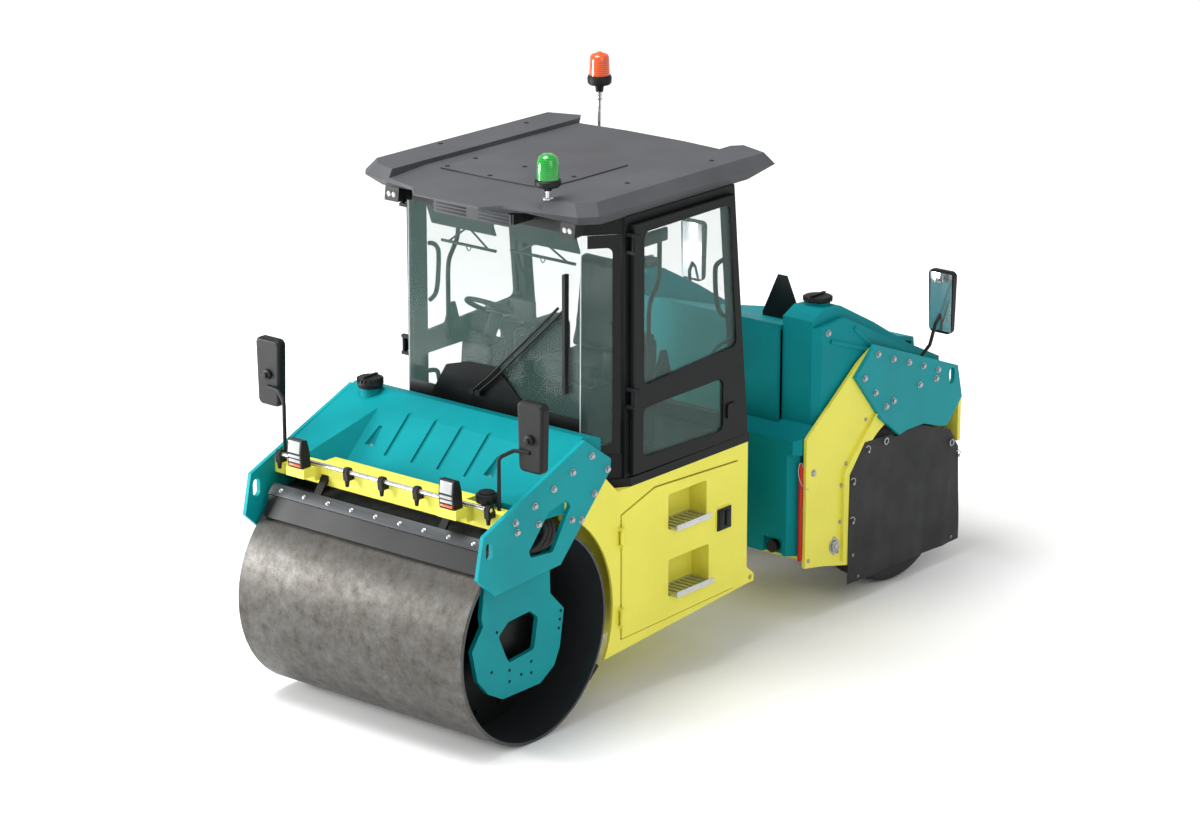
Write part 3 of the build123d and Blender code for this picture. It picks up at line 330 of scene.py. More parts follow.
def metalMaterial(name, light, dark, gloss, streakMm, stretch):
    # Bare metal: fine drawn lines in tone, gloss and bump
    material, tree, shader, place = newMaterial(name)
    drawn = addNode(tree, "Mapping", values={"Scale": stretch}, links={"Vector": place})
    lines = addNode(tree, "TexNoise", links={"Vector": drawn.outputs["Vector"]},
                    values={"Scale": grainScale(streakMm), "Detail": 3.0, "Roughness": 0.6}).outputs["Fac"]
    addNode(tree, "ValToRGB", links={"Fac": lines}, stops=[(0.3, dark), (0.7, light)],
            into=shader.inputs["Base Color"])
    addNode(tree, "ValToRGB", links={"Fac": lines}, stops=[(0.3, gloss), (0.7, gloss + 0.12)],
            into=shader.inputs["Roughness"])
    addNode(tree, "Bump", values={"Strength": 0.08, "Distance": 0.0004}, links={"Height": lines},
            into=shader.inputs["Normal"])
    shader.inputs["Metallic"].default_value = 0.9
    return material


def glassMaterial(name, tint, clear):
    # Safety glass: a faint green body colour with thin dust in its gloss
    material, tree, shader, place = newMaterial(name)
    dust = addNode(tree, "TexNoise", values={"Scale": grainScale(160), "Detail": 5.0, "Roughness": 0.55},
                   links={"Vector": place}).outputs["Fac"]
    addNode(tree, "ValToRGB", links={"Fac": dust}, stops=[(0.35, 0.02), (0.75, 0.09)],
            into=shader.inputs["Roughness"])
    addNode(tree, "ValToRGB", links={"Fac": dust}, stops=[(0.3, tint[0]), (0.7, tint[1])],
            into=shader.inputs["Base Color"])
    shader.inputs["Alpha"].default_value = clear
    shader.inputs["Specular IOR Level"].default_value = 0.6
    return material


def lensMaterial(name, light, dark, glow):
    # Moulded lens: faint rings in tone and bump, and a faint painted glow of its own colour that stands in
    # for light let through
    material, tree, shader, place = newMaterial(name)
    rings = addNode(tree, "TexWave", {"wave_type": "BANDS", "bands_direction": "Z"},
                    {"Scale": bandScale(12.566), "Distortion": 0.0}, {"Vector": place}).outputs["Fac"]
    addNode(tree, "ValToRGB", links={"Fac": rings}, stops=[(0.2, dark), (0.8, light)],
            into=shader.inputs["Base Color"])
    addNode(tree, "Bump", values={"Strength": 0.2, "Distance": 0.001}, links={"Height": rings},
            into=shader.inputs["Normal"])
    # Painted glow: the lens shines a little in its own colour though no lamp is lit inside
    shader.inputs["Emission Color"].default_value = toLinear(light)
    shader.inputs["Emission Strength"].default_value = glow
    shader.inputs["Roughness"].default_value = 0.18
    shader.inputs["Coat Weight"].default_value = 0.5
    return material


def clothMaterial(name, light, dark, threadMm, sheen):
    # Woven cloth: crossed warp and weft, drawn coarser than the real thread so that they show, uneven dye
    material, tree, shader, place = newMaterial(name)
    warp, weft = [addNode(tree, "TexWave", {"bands_direction": way},
                          {"Scale": bandScale(threadMm), "Distortion": 0.6}, {"Vector": place})
                  for way in ("X", "Z")]
    weave = addNode(tree, "Math", {"operation": "MULTIPLY"},
                    links={0: warp.outputs["Fac"], 1: weft.outputs["Fac"]})
    dye = addNode(tree, "TexNoise", values={"Scale": grainScale(180), "Detail": 5.0, "Roughness": 0.55},
                  links={"Vector": place}).outputs["Fac"]
    addNode(tree, "ValToRGB", links={"Fac": dye}, stops=[(0.3, dark), (0.7, light)],
            into=shader.inputs["Base Color"])
    addNode(tree, "ValToRGB", links={"Fac": dye}, stops=[(0.3, 0.62), (0.7, 0.80)],
            into=shader.inputs["Roughness"])
    addNode(tree, "Bump", values={"Strength": 0.35, "Distance": 0.0006},
            links={"Height": weave.outputs["Value"]}, into=shader.inputs["Normal"])
    shader.inputs["Sheen Weight"].default_value = sheen
    return material


def rubberMaterial(name, light, dark, gritMm):
    # Rubber: dusty mottling and a fine matt grit
    material, tree, shader, place = newMaterial(name)
    dust, fine = [addNode(tree, "TexNoise", links={"Vector": place},
                          values={"Scale": grainScale(size), "Detail": detail, "Roughness": 0.55})
                  for size, detail in ((120, 6.0), (gritMm, 2.0))]
    addNode(tree, "ValToRGB", links={"Fac": dust.outputs["Fac"]}, stops=[(0.3, dark), (0.7, light)],
            into=shader.inputs["Base Color"])
    addNode(tree, "ValToRGB", links={"Fac": fine.outputs["Fac"]}, stops=[(0.3, 0.68), (0.7, 0.85)],
            into=shader.inputs["Roughness"])
    addNode(tree, "Bump", values={"Strength": 0.2, "Distance": 0.0008},
            links={"Height": fine.outputs["Fac"]}, into=shader.inputs["Normal"])
    return material


wornSteel = wornSteelMaterial()
zincSteel = metalMaterial("zincPlatedSteel", "#B4B5B7", "#929496", 0.30, 30, (1.0, 1.0, 3.0))
brightRod = metalMaterial("chromedSteel", "#D9DADC", "#BFC1C4", 0.16, 60, (0.2, 3.0, 3.0))
treadMetal = metalMaterial("ribbedAluminium", "#CDCFD0", "#B4B6B8", 0.34, 12, (0.3, 4.0, 4.0))
stripSteel = metalMaterial("brushedStripSteel", "#4C4E50", "#404244", 0.50, 24, (3.0, 0.15, 3.0))
cabGlass = glassMaterial("greenTintGlass", ("#6A8C85", "#7A9C94"), 0.115)
lampGlass = glassMaterial("clearLampGlass", ("#E9EEF0", "#F5F8FA"), 0.42)
mirrorGlass = metalMaterial("silveredMirror", "#DDE4E6", "#D2DADD", 0.03, 400, (1.0, 1.0, 1.0))
# The last number is each lens's painted glow
greenLens = lensMaterial("greenMouldedLens", "#078A2A", "#057320", 0.07)
amberLens = lensMaterial("amberMouldedLens", "#CE4F1A", "#B54210", 0.08)
seatCloth = clothMaterial("charcoalSeatCloth", "#1E2120", "#171A19", 1.885, 0.2)
apronCloth = clothMaterial("coatedApronCloth", "#141516", "#0F1011", 1.382, 0.04)
tyreRubber = rubberMaterial("smoothTyreRubber", "#1D1D1D", "#141414", 4.0)
hoseRubber = rubberMaterial("blackHoseRubber", "#161616", "#0E0E0E", 3.0)

nodeFinish = {
    tealPaint: ["front_plate_left", "front_plate_right", "rear_plate_left", "rear_plate_right"],
    tealTank: ["front_tank", "rear_tank_left", "rear_tank_right", "hood"],
    yellowPaint: ["side_wall_left", "side_wall_right", "mid_chassis", "tie_lugs", "front_beam", "hatch_left",
                  "hatch_right", "step_boxes_left", "step_boxes_right", "fender_left", "fender_right",
                  "rear_deck", "rear_chassis"],
    cabPaint: ["cab_floor", "cab_frame", "door_left", "door_right", "door_pins"],
    roofPlastic: ["roof"],
    blackSteel: ["drum_scrapers", "swivel_block", "steering_cylinders", "wheel_carriers", "rims_left",
                 "rims_right", "engine", "drum_hubs", "sign_plate", "drum_heads"],
    blackPlastic: ["front_fittings", "roof_fittings", "cab_console", "cab_rails", "rear_fittings"],
    wornSteel: ["drum_shell"],
    brightRod: ["spray_tube", "rod_left", "rod_right", "beacon_posts"],
    treadMetal: ["treads_left", "treads_right"],
    cabGlass: ["cab_glass", "door_glass_left", "door_glass_right"],
    greenLens: ["green_lens"],
    amberLens: ["amber_lens"],
    redPaint: ["lock_bar"],
    seatCloth: ["seat"],
    apronCloth: ["apron_left", "apron_right"],
    tyreRubber: ["tyres_left", "tyres_right"],
}
for material, names in nodeFinish.items():
    for name in names:
        mesh = nodes[name].data
        mesh.materials.clear()
        mesh.materials.append(material)
print("materials set on CAD nodes")


# Bolts on the side plates, one model copied
boltSet = {"plate": {"washerRadius": 0.021, "washerDeep": 0.004, "headRadius": 0.0155, "headDeep": 0.011},
           "small": {"washerRadius": 0.013, "washerDeep": 0.002, "headRadius": 0.0095, "headDeep": 0.006},
           "front": [(1.302, 1.570), (1.166, 1.459), (1.466, 1.515), (1.280, 1.345), (1.627, 1.460),
                     (1.788, 1.403), (1.475, 1.244), (1.394, 1.222), (1.950, 1.350), (1.936, 1.292),
                     (1.757, 1.292)],
           "rear": [(-1.401, 1.539), (-1.562, 1.474), (-1.727, 1.415), (-1.881, 1.357), (-2.042, 1.297),
                    (-2.022, 1.244), (-1.848, 1.245), (-1.267, 1.419), (-1.381, 1.303), (-1.572, 1.206),
                    (-1.495, 1.189)]}


def boltModel(washerRadius, washerDeep, headRadius, headDeep):
    washer = addRod((0, 0, 0), (0, 0, washerDeep), washerRadius, 16, 0.001)
    head = addRod((0, 0, washerDeep), (0, 0, washerDeep + headDeep), headRadius, 6)
    makeActive(head)
    bpy.ops.object.mode_set(mode="EDIT")
    bpy.ops.mesh.select_all(action="DESELECT")
    mesh = bmesh.from_edit_mesh(head.data)
    for face in mesh.faces:
        face.select = face.normal.z > 0.9
    bmesh.update_edit_mesh(head.data)
    bpy.ops.mesh.inset(thickness=headRadius * 0.22)
    bpy.ops.transform.translate(value=(0, 0, headDeep * 0.18))
    bpy.ops.object.mode_set(mode="OBJECT")
    return joinAll([washer, head])


plateBolt = boltModel(**boltSet["plate"])
outward = {"left": Matrix.Rotation(radians(-90), 4, "X"), "right": Matrix.Rotation(radians(90), 4, "X")}
plateOut = {"left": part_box("front_plate_left")[1][1], "right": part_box("front_plate_right")[0][1]}
for where, body in (("front", "front_frame"), ("rear", "rear_frame")):
    for side in ("left", "right"):
        copies = []
        for x, z in boltSet[where]:
            turned = outward[side] @ Matrix.Rotation(x * 9, 4, "Z")  # each bolt stopped at its own angle
            copies.append(copyAt(plateBolt, Matrix.Translation((x, plateOut[side], z)) @ turned))
        finishPiece(joinAll(copies), f"{where}PlateBolts.{side}", body, zincSteel, 30)
print("plate bolts done")

# Hung aprons over the rear wheels
apronCut = {"outline": [(-1.161, 0.129), (-1.173, 0.826), (-1.324, 0.998), (-1.584, 0.982), (-1.650, 0.955),
                        (-1.731, 0.968), (-1.907, 0.966), (-2.074, 0.910), (-2.158, 0.893), (-2.234, 0.855),
                        (-2.326, 0.726), (-2.346, 0.114)],
            "inside": 0.8565, "thick": 0.004, "cell": 0.034, "fold": 0.009, "hangFrom": 0.98, "drop": 0.85}


def apronSheet(side):
    sign = 1 if side == "left" else -1
    data = bpy.data.meshes.new("apron")
    data.from_pydata([(x, 0, z) for x, z in apronCut["outline"]], [],
                     [tuple(range(len(apronCut["outline"])))])
    piece = bpy.data.objects.new("apron", data)
    scene.collection.objects.link(piece)
    makeActive(piece)
    bpy.ops.object.mode_set(mode="EDIT")
    xs, zs = zip(*apronCut["outline"])
    for axis, low, high in ((0, min(xs), max(xs)), (2, min(zs), max(zs))):
        normal = [0, 0, 0]
        normal[axis] = 1
        place = low + apronCut["cell"]
        while place < high:
            bpy.ops.mesh.select_all(action="SELECT")
            spot = [0, 0, 0]
            spot[axis] = place
            bpy.ops.mesh.bisect(plane_co=spot, plane_no=normal)
            place += apronCut["cell"]
    bpy.ops.object.mode_set(mode="OBJECT")
    for vertex in data.vertices:
        x, z = vertex.co.x, vertex.co.z
        # Crossed waves and a slow bow, which grow towards the hem
        hang = min(1.0, max(0.0, (apronCut["hangFrom"] - z) / apronCut["drop"]))
        fold = sin(x * 17 + 0.8 * sin(z * 4.0)) * 0.55 + sin(x * 41 + z * 5 + 1.3) * 0.18
        fold += sin(z * 13 + x * 6) * 0.2
        pinch = sin((z - 0.15) * 8) * 0.25
        vertex.co.y = sign * (apronCut["inside"] + apronCut["fold"] * hang * (1.05 + fold + pinch))
    wall = piece.modifiers.new("clothThickness", "SOLIDIFY")
    wall.thickness = apronCut["thick"]
    wall.offset = 1.0 if sign > 0 else -1.0
    applyModifiers(piece)
    faceOutward(piece)
    return piece


for side in ("left", "right"):
    apron = finishPiece(apronSheet(side), f"wheelApron.{side}", "rear_frame", apronCloth, 60)
    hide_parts(f"apron_{side}")
print("aprons hung")

# Seat cushions, blown up as cloth with pressure
seatPads = {"cushionLow": (0.245, -0.085, 1.712), "cushionHigh": (0.690, 0.385, 1.798),
            "backFoot": (0.285, 1.800), "backTop": (0.205, 2.375), "backThick": 0.075, "backHalf": 0.215,
            "middle": 0.15, "edge": 0.022, "voxel": 0.012, "pressure": 4.0, "frames": 14, "swell": 0.022}


def swollen(piece, limit):
    makeActive(piece)
    remesh = piece.modifiers.new("evenMesh", "REMESH")
    remesh.mode = "VOXEL"
    remesh.voxel_size = seatPads["voxel"]
    applyModifiers(piece)
    start = [vertex.co.copy() for vertex in piece.data.vertices]
    cloth = piece.modifiers.new("padCloth", "CLOTH")
    cloth.settings.use_pressure = True
    cloth.settings.uniform_pressure_force = seatPads["pressure"]
    cloth.settings.effector_weights.gravity = 0
    cloth.settings.quality = 5
    for step in range(1, seatPads["frames"] + 1):
        scene.frame_set(step)
    applyModifiers(piece)
    scene.frame_set(1)
    for vertex, before in zip(piece.data.vertices, start):
        shift = vertex.co - before
        if shift.length > limit:
            vertex.co = before + shift.normalized() * limit
    return piece


def seatPad(points, yLow, yHigh, rounding):
    piece = addPrism(points, yLow, yHigh, rounding, 3)
    return swollen(piece, seatPads["swell"])


low, high = seatPads["cushionLow"], seatPads["cushionHigh"]
profile = [(low[0], low[2]), (high[0], low[2]), (high[0] + 0.012, high[2] - 0.02), (high[0] - 0.03, high[2]),
           (low[0], high[2])]
cushion = seatPad(profile, low[1], high[1], seatPads["edge"])
cushion = finishPiece(cushion, "seatCushion", "front_frame", seatCloth, 60)
foot, top = seatPads["backFoot"], seatPads["backTop"]
backRest = seatPad([foot, (foot[0] + seatPads["backThick"], foot[1]),
                    (top[0] + seatPads["backThick"], top[1] - 0.02), (top[0] + 0.03, top[1]),
                    (top[0] - 0.01, top[1] - 0.02)],
                   seatPads["middle"] - seatPads["backHalf"], seatPads["middle"] + seatPads["backHalf"],
                   seatPads["edge"])
backRest = finishPiece(backRest, "seatBackRest", "front_frame", seatCloth, 60)
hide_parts("seat")
print("seat pads done")

# Scraper strip with its bolts
stripSet = {"foot": (2.081, 1.260), "edge": (2.128, 1.206), "half": 0.800, "thick": 0.004, "bolts": 9,
            "boltReach": 0.72}


def stripNormal():
    (xa, za), (xb, zb) = stripSet["foot"], stripSet["edge"]
    return Vector((za - zb, 0, xb - xa)).normalized()


lift = stripNormal() * stripSet["thick"]
(xa, za), (xb, zb) = stripSet["foot"], stripSet["edge"]
strip = addPrism([(xa, za), (xb, zb), (xb + lift.x, zb + lift.z), (xa + lift.x, za + lift.z)],
                 -stripSet["half"], stripSet["half"], 0.001)
finishPiece(strip, "scraperStrip", "front_frame", stripSteel)
smallBolt = boltModel(**boltSet["small"])
turn = stripNormal().to_track_quat("Z", "Y").to_matrix().to_4x4()
copies = []
for place in range(stripSet["bolts"]):
    y = stripSet["boltReach"] * (2 * place / (stripSet["bolts"] - 1) - 1)
    middle = Vector(((xa + xb) / 2, y, (za + zb) / 2)) + lift
    copies.append(copyAt(smallBolt, Matrix.Translation(middle) @ turn))
finishPiece(joinAll(copies), "scraperBolts", "front_frame", zincSteel, 30)
print("scraper strip done")

# Lamp lenses, set into the fronts of the four lamps
lampSet = {"middle": 0.566, "half": 0.043, "face": [(1.412, 2.148), (1.502, 2.156), (1.580, 2.146)],
           "proud": 0.005, "clear": [(1.500, 1.570)], "small": [(1.444, 1.464), (1.470, 1.490)],
           "amber": [(1.420, 1.438)], "cabFace": 1.2235, "cabEyes": [(0.632, 2.796), (0.668, 2.796)],
           "cabEyeRadius": 0.016}


def faceAt(face, z):
    for (za, xa), (zb, xb) in zip(face, face[1:]):
        if za <= z <= zb:
            return xa + (xb - xa) * (z - za) / (zb - za)


def lensBars(face, bars, middle, half):
    copies = []
    for low, high in bars:
        a, b, out = faceAt(face, low), faceAt(face, high), lampSet["proud"]
        copies.append(addPrism([(a - 0.002, low), (a + out, low + 0.003), (b + out, high - 0.003),
                                (b - 0.002, high)],
                               middle - half, middle + half, 0.002))
    return joinAll(copies)


for kind, slot, material, bars in (("Clear", "tinted_glass", lampGlass, lampSet["clear"]),
                                   ("Small", "tinted_glass", lampGlass, lampSet["small"]),
                                   ("Amber", "amber_lens", amberLens, lampSet["amber"])):
    lens = lensBars(lampSet["face"], bars, lampSet["middle"], lampSet["half"])
    finishPair(lens, f"headLamp{kind}", "front_frame", material)


def lampEye(y, z):
    face, radius = lampSet["cabFace"], lampSet["cabEyeRadius"]
    ring = addRod((face, y, z), (face + 0.006, y, z), radius, 24, 0.002)
    dome = addRod((face + 0.005, y, z), (face + 0.009, y, z), radius * 0.72, 20, 0.003)
    return joinAll([ring, dome])


lens = joinAll([lampEye(y, z) for y, z in lampSet["cabEyes"]])
finishPair(lens, "cabLampLens", "front_frame", lampGlass)
print("lamp lenses done")

# Mirror glasses and the ball clamps behind the front mirrors
mirrorSet = {"panes": {"front": (1.8755, 0.974, 1.645, 2.040), "rear": (-1.938, 0.962, 1.568, 1.963)},
             "half": 0.078, "rim": 0.016, "thick": 0.003, "clamp": (1.930, 0.974, 1.8325)}


def mirrorPane(x, y, low, high):
    rim, half = mirrorSet["rim"], mirrorSet["half"]
    return addBox((x, y - half, low + rim), (x + mirrorSet["thick"], y + half, high - rim), 0.001)


def mirrorClamp(x, y, z):
    ball = addRod((x, y, z), (x + 0.018, y, z), 0.030, 20, 0.005)
    neck = addRod((x + 0.016, y, z - 0.004), (x + 0.034, y, z - 0.004), 0.016, 16, 0.003)
    bolt = addRod((x + 0.014, y - 0.034, z), (x + 0.014, y + 0.034, z), 0.007, 12, 0.001)
    return joinAll([ball, neck, bolt])


for where, pane in mirrorSet["panes"].items():
    finishPair(mirrorPane(*pane), f"{where}MirrorGlass", f"{where}_frame", mirrorGlass)
finishPair(mirrorClamp(*mirrorSet["clamp"]), "mirrorClamp", "front_frame", blackPlastic)
print("mirrors done")

# Hatch latches
latchSet = {"x": (-0.016, 0.114), "z": (0.803, 0.936), "face": 0.842, "deep": 0.007}


def hatchLatch():
    (xa, xb), (za, zb), face, deep = latchSet["x"], latchSet["z"], latchSet["face"], latchSet["deep"]
    plate = addBox((xa, face, za), (xb, face + deep, zb), 0.003)
    paddle = addBox((xa + 0.020, face + deep, za + 0.020), (xa + 0.058, face + deep + 0.010, zb - 0.020),
                    0.004)
    well = addBox((xa + 0.068, face + deep, za + 0.016), (xb - 0.014, face + deep + 0.004, zb - 0.016),
                  0.003)
    return joinAll([plate, paddle, well])


latch = hatchLatch()
finishPair(latch, "hatchLatch", "{side}_hatch", blackPlastic)
print("latches done")

# Fender plug, hose coupling and small bolts, left and right
fenderSet = {"face": 0.856, "plug": (-0.804, 0.932), "coupling": (-1.022, 0.416),
             "bolts": [(-1.327, 1.140), (-1.129, 0.912), (-1.081, 0.783), (-1.076, 0.554), (-1.059, 0.367),
                       (-0.765, 0.390)]}


def fenderPlug(x, z):
    face = fenderSet["face"]
    rim = addRod((x, face, z), (x, face + 0.006, z), 0.022, 24, 0.002)
    dome = addRod((x, face + 0.006, z), (x, face + 0.012, z), 0.015, 24, 0.004)
    return joinAll([rim, dome])


def hoseCoupling(x, z):
    face = fenderSet["face"]
    flange = addRod((x, face, z), (x, face + 0.006, z), 0.048, 28, 0.002)
    neck = addRod((x, face + 0.006, z), (x, face + 0.020, z), 0.036, 28, 0.003)
    cap = addRod((x, face + 0.020, z), (x, face + 0.026, z), 0.024, 6, 0.002)
    ears = [addBox((x - 0.012 + dx, face, z - 0.058 + dz), (x + 0.012 + dx, face + 0.005, z - 0.042 + dz),
                   0.003)
            for dx, dz in ((0, 0), (0, 0.100))]
    return joinAll([flange, neck, cap] + ears)


finishPair(fenderPlug(*fenderSet["plug"]), "fenderPlug", "rear_frame", zincSteel)
finishPair(hoseCoupling(*fenderSet["coupling"]), "hoseCoupling", "rear_frame", zincSteel)
fenderBolts = joinAll([copyAt(smallBolt, Matrix.Translation((x, fenderSet["face"], z)) @ outward["left"])
                       for x, z in fenderSet["bolts"]])
finishPair(fenderBolts, "fenderBolts", "rear_frame", zincSteel, 30)
print("fender fittings done")

# Eyelets and spring hooks along the aprons' edges
eyeletSet = {"face": 0.868, "rings": [(-1.527, 0.958), (-2.233, 0.777)],
             "hooks": [(-1.348, 0.955), (-1.200, 0.787), (-1.199, 0.539), (-2.316, 0.690)],
             "eyes": [(-1.202, 0.312), (-1.260, 0.160), (-2.251, 0.150)]}


def hookModel():
    body = addTube([(0, 0.004, -0.020), (0, 0.010, -0.010), (0, 0.014, 0.006), (0.008, 0.012, 0.020),
                    (0.022, 0.008, 0.022), (0.030, 0.004, 0.014)], 0.0034)
    foot = addRod((0, 0.000, -0.020), (0, 0.007, -0.020), 0.009, 14, 0.001)
    return joinAll([body, foot])


def addRing(radius, wire, y, around, sides):
    deselectAll()
    bpy.ops.mesh.primitive_torus_add(major_radius=radius, minor_radius=wire, major_segments=around,
                                     minor_segments=sides, rotation=(radians(90), 0, 0), location=(0, y, 0))
    settle(bpy.context.object)
    return bpy.context.object


def ringModel():
    ring = addRing(0.020, 0.0045, 0.004, 28, 8)
    post = addRod((0, -0.002, 0.019), (0, 0.012, 0.019), 0.006, 12, 0.001)
    return joinAll([ring, post])


models = {"rings": ringModel(), "hooks": hookModel(), "eyes": addRing(0.008, 0.0028, 0.002, 20, 6)}
copies = [copyAt(models[kind], Matrix.Translation((x, eyeletSet["face"], z)))
          for kind in models for x, z in eyeletSet[kind]]
for model in models.values():
    bpy.data.objects.remove(model)
fastenings = joinAll(copies)
finishPair(fastenings, "apronFastenings", "rear_frame", zincSteel, 60)
print("apron fastenings done")

# Tank bolts, filler cap grips and the black cap beside the near lamp
capSet = {"tankBolt": (-0.974, 0.8205, 1.755), "filler": (-1.085, 0.660, 1.939),
          "frontCap": (1.388, -0.690, 1.749), "dimple": (1.652, 0.445, 1.436), "horn": (1.978, 0.705, 1.412)}


def capGrip(x, y, z, radius, ribs):
    copies = [addBox((x - radius * 0.82, y - 0.011, z), (x + radius * 0.82, y + 0.011, z + 0.010), 0.004)]
    for place in range(ribs):
        turn = 2 * pi * place / ribs
        cx, cy = x + radius * cos(turn), y + radius * sin(turn)
        copies.append(addRod((cx, cy, z - 0.032), (cx, cy, z - 0.006), 0.004, 8, 0.001))
    return joinAll(copies)


def hornCap(x, y, z):
    base = addRod((x, y, z), (x, y, z + 0.030), 0.030, 20, 0.003)
    bell = addRod((x, y, z + 0.026), (x, y, z + 0.078), 0.062, 28, 0.012)
    lid = addRod((x, y, z + 0.074), (x, y, z + 0.090), 0.046, 28, 0.006)
    return joinAll([base, bell, lid])


bolt = copyAt(plateBolt, Matrix.Translation(capSet["tankBolt"]) @ outward["left"])
finishPair(bolt, "tankBolt", "rear_frame", zincSteel, 30)
grip = capGrip(*capSet["filler"], 0.086, 24)
finishPair(grip, "fillerGrip", "rear_frame", blackPlastic)
finishPiece(capGrip(*capSet["frontCap"], 0.074, 20), "frontTankGrip", "front_frame",
            blackPlastic)
lean = Vector((0.3, 0, 1)).to_track_quat("Z", "Y").to_matrix().to_4x4()
bolt = copyAt(plateBolt, Matrix.Translation(capSet["dimple"]) @ lean)
finishPair(bolt, "dimpleBolt", "front_frame", zincSteel, 30)
finishPiece(hornCap(*capSet["horn"]), "hornCap", "front_frame", blackPlastic)
print("caps and bolts done")

# Cab fittings behind the door glass: grab rails, visor, door lock
cabSet = {"inside": 0.752, "railRadius": 0.014,
          "doorRail": [(0.545, 2.66), (0.545, 2.50), (0.548, 2.39), (0.600, 2.32), (0.640, 2.26),
                       (0.640, 2.05), (0.640, 1.80)],
          "rearLoop": [(-0.110, 2.392), (-0.053, 2.391), (0.030, 2.375), (0.036, 2.330), (0.030, 2.200),
                       (-0.004, 2.084), (-0.060, 2.045), (-0.110, 2.041)],
          "visorX": (0.480, 0.720), "visorZ": (2.610, 2.690),
          "lock": [(0.487, 1.831), (0.637, 1.850), (0.575, 1.993), (0.540, 1.993)], "disc": (0.562, 1.880),
          "case": ((0.050, 1.765), (0.240, 1.840)), "knobs": [(0.200, 1.800), (0.090, 1.800)],
          "lever": [(-0.084, 1.917), (0.020, 1.912), (0.090, 1.890), (0.118, 1.852), (0.130, 1.810)],
          "farLoop": [(0.800, 2.405), (0.766, 2.401), (0.722, 2.360), (0.717, 2.300), (0.732, 2.125),
                      (0.760, 2.075), (0.800, 2.064)],
          "footLoop": [(0.850, 1.642), (0.810, 1.640), (0.742, 1.625), (0.730, 1.580), (0.715, 1.500),
                       (0.712, 1.400)]}


def sideRail(points, sign):
    return addTube([(x, sign * cabSet["inside"], z) for x, z in points], cabSet["railRadius"], 12)


def cabRails(sign):
    return joinAll([sideRail(cabSet[name], sign)
                    for name in ("doorRail", "rearLoop", "farLoop", "footLoop")])


def visorBar(sign):
    (xa, xb), (za, zb) = cabSet["visorX"], cabSet["visorZ"]
    low, high = sorted((sign * (cabSet["inside"] - 0.010), sign * (cabSet["inside"] + 0.012)))
    return addBox((xa, low, za), (xb, high, zb), 0.010)


def doorLock():
    y = cabSet["inside"] + 0.030
    plate = addPrism(cabSet["lock"], y, y + 0.022, 0.004)
    (discX, discZ), ((xa, za), (xb, zb)) = cabSet["disc"], cabSet["case"]
    disc = addRod((discX, y - 0.004, discZ), (discX, y + 0.030, discZ), 0.036, 24, 0.004)
    knobs = [addRod((x, y, z), (x, y + 0.030, z), 0.030, 20, 0.004) for x, z in cabSet["knobs"]]
    case = addBox((xa, y, za), (xb, y + 0.022, zb), 0.006)
    lever = addTube([(x, y + 0.012, z) for x, z in cabSet["lever"]], 0.010, 12)
    return joinAll([plate, disc, case, lever] + knobs)


for side, sign in (("left", 1), ("right", -1)):
    finishPiece(cabRails(sign), f"grabRails.{side}", "front_frame", blackPlastic)
    finishPiece(visorBar(sign), f"sideVisor.{side}", "front_frame", blackPlastic)
lock = doorLock()
finishPair(lock, "doorLock", "{side}_door", blackPlastic)
print("cab fittings done")

# Wire lanyard that keeps the lock bar's pin
lanyardSet = {"route": [(-0.724, 0.838, 0.985), (-0.712, 0.842, 1.012), (-0.690, 0.844, 1.022),
                        (-0.668, 0.844, 1.000), (-0.668, 0.844, 0.960), (-0.680, 0.845, 0.915),
                        (-0.705, 0.850, 0.872), (-0.738, 0.856, 0.846), (-0.758, 0.856, 0.840)],
              "diameter": 0.005}
lanyard = tubeCurve("lockLanyard", lanyardSet["route"], lanyardSet["diameter"] / 2, 3)
lanyard.data.materials.append(zincSteel)
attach(lanyard, "rear_frame")

# Beacons: turned lenses, black collars and bright stems
beaconSet = {"green": (1.285, 0.562), "amber": (-0.400, -0.462),
             "greenLens": [(0, 3.228), (0.030, 3.224), (0.050, 3.208), (0.060, 3.176), (0.063, 3.130),
                           (0.063, 3.082), (0, 3.082)],
             "amberLens": [(0, 3.378), (0.012, 3.376), (0.016, 3.370), (0.046, 3.362), (0.056, 3.348),
                           (0.058, 3.330), (0.062, 3.234), (0, 3.234)],
             "greenCollar": [(0, 3.020), (0.019, 3.020), (0.026, 3.032), (0.064, 3.044), (0.073, 3.054),
                             (0.074, 3.076), (0.066, 3.086), (0.064, 3.0815), (0, 3.0815)],
             "amberCollar": [(0, 3.136), (0.022, 3.136), (0.027, 3.174), (0.062, 3.180), (0.071, 3.190),
                             (0.073, 3.222), (0.066, 3.238), (0.063, 3.2335), (0, 3.2335)],
             "greenStem": [(0, 2.9722), (0.030, 2.9722), (0.030, 2.977), (0.013, 2.981), (0.013, 3.0195),
                           (0, 3.0195)],
             "amberStem": [(0, 2.893), (0.011, 2.893), (0.011, 3.082), (0.018, 3.086), (0.018, 3.094),
                           (0.014, 3.098), (0.014, 3.108), (0.018, 3.112), (0.018, 3.1355), (0, 3.1355)]}
for colour, material in (("green", greenLens), ("amber", amberLens)):
    x, y = beaconSet[colour]
    lens = addTurned(beaconSet[f"{colour}Lens"], x, y)
    finishPiece(lens, f"{colour}BeaconLens", "front_frame", material, 50)
    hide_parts(f"{colour}_lens")
    collar = addTurned(beaconSet[f"{colour}Collar"], x, y)
    finishPiece(collar, f"{colour}BeaconCollar", "front_frame", blackPlastic, 35)
stems = joinAll([addTurned(beaconSet[f"{colour}Stem"], *beaconSet[colour], 24)
                 for colour in ("green", "amber")])
finishPiece(stems, "beaconStems", "front_frame", brightRod, 35)
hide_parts("beacon_posts")
print("beacons done")

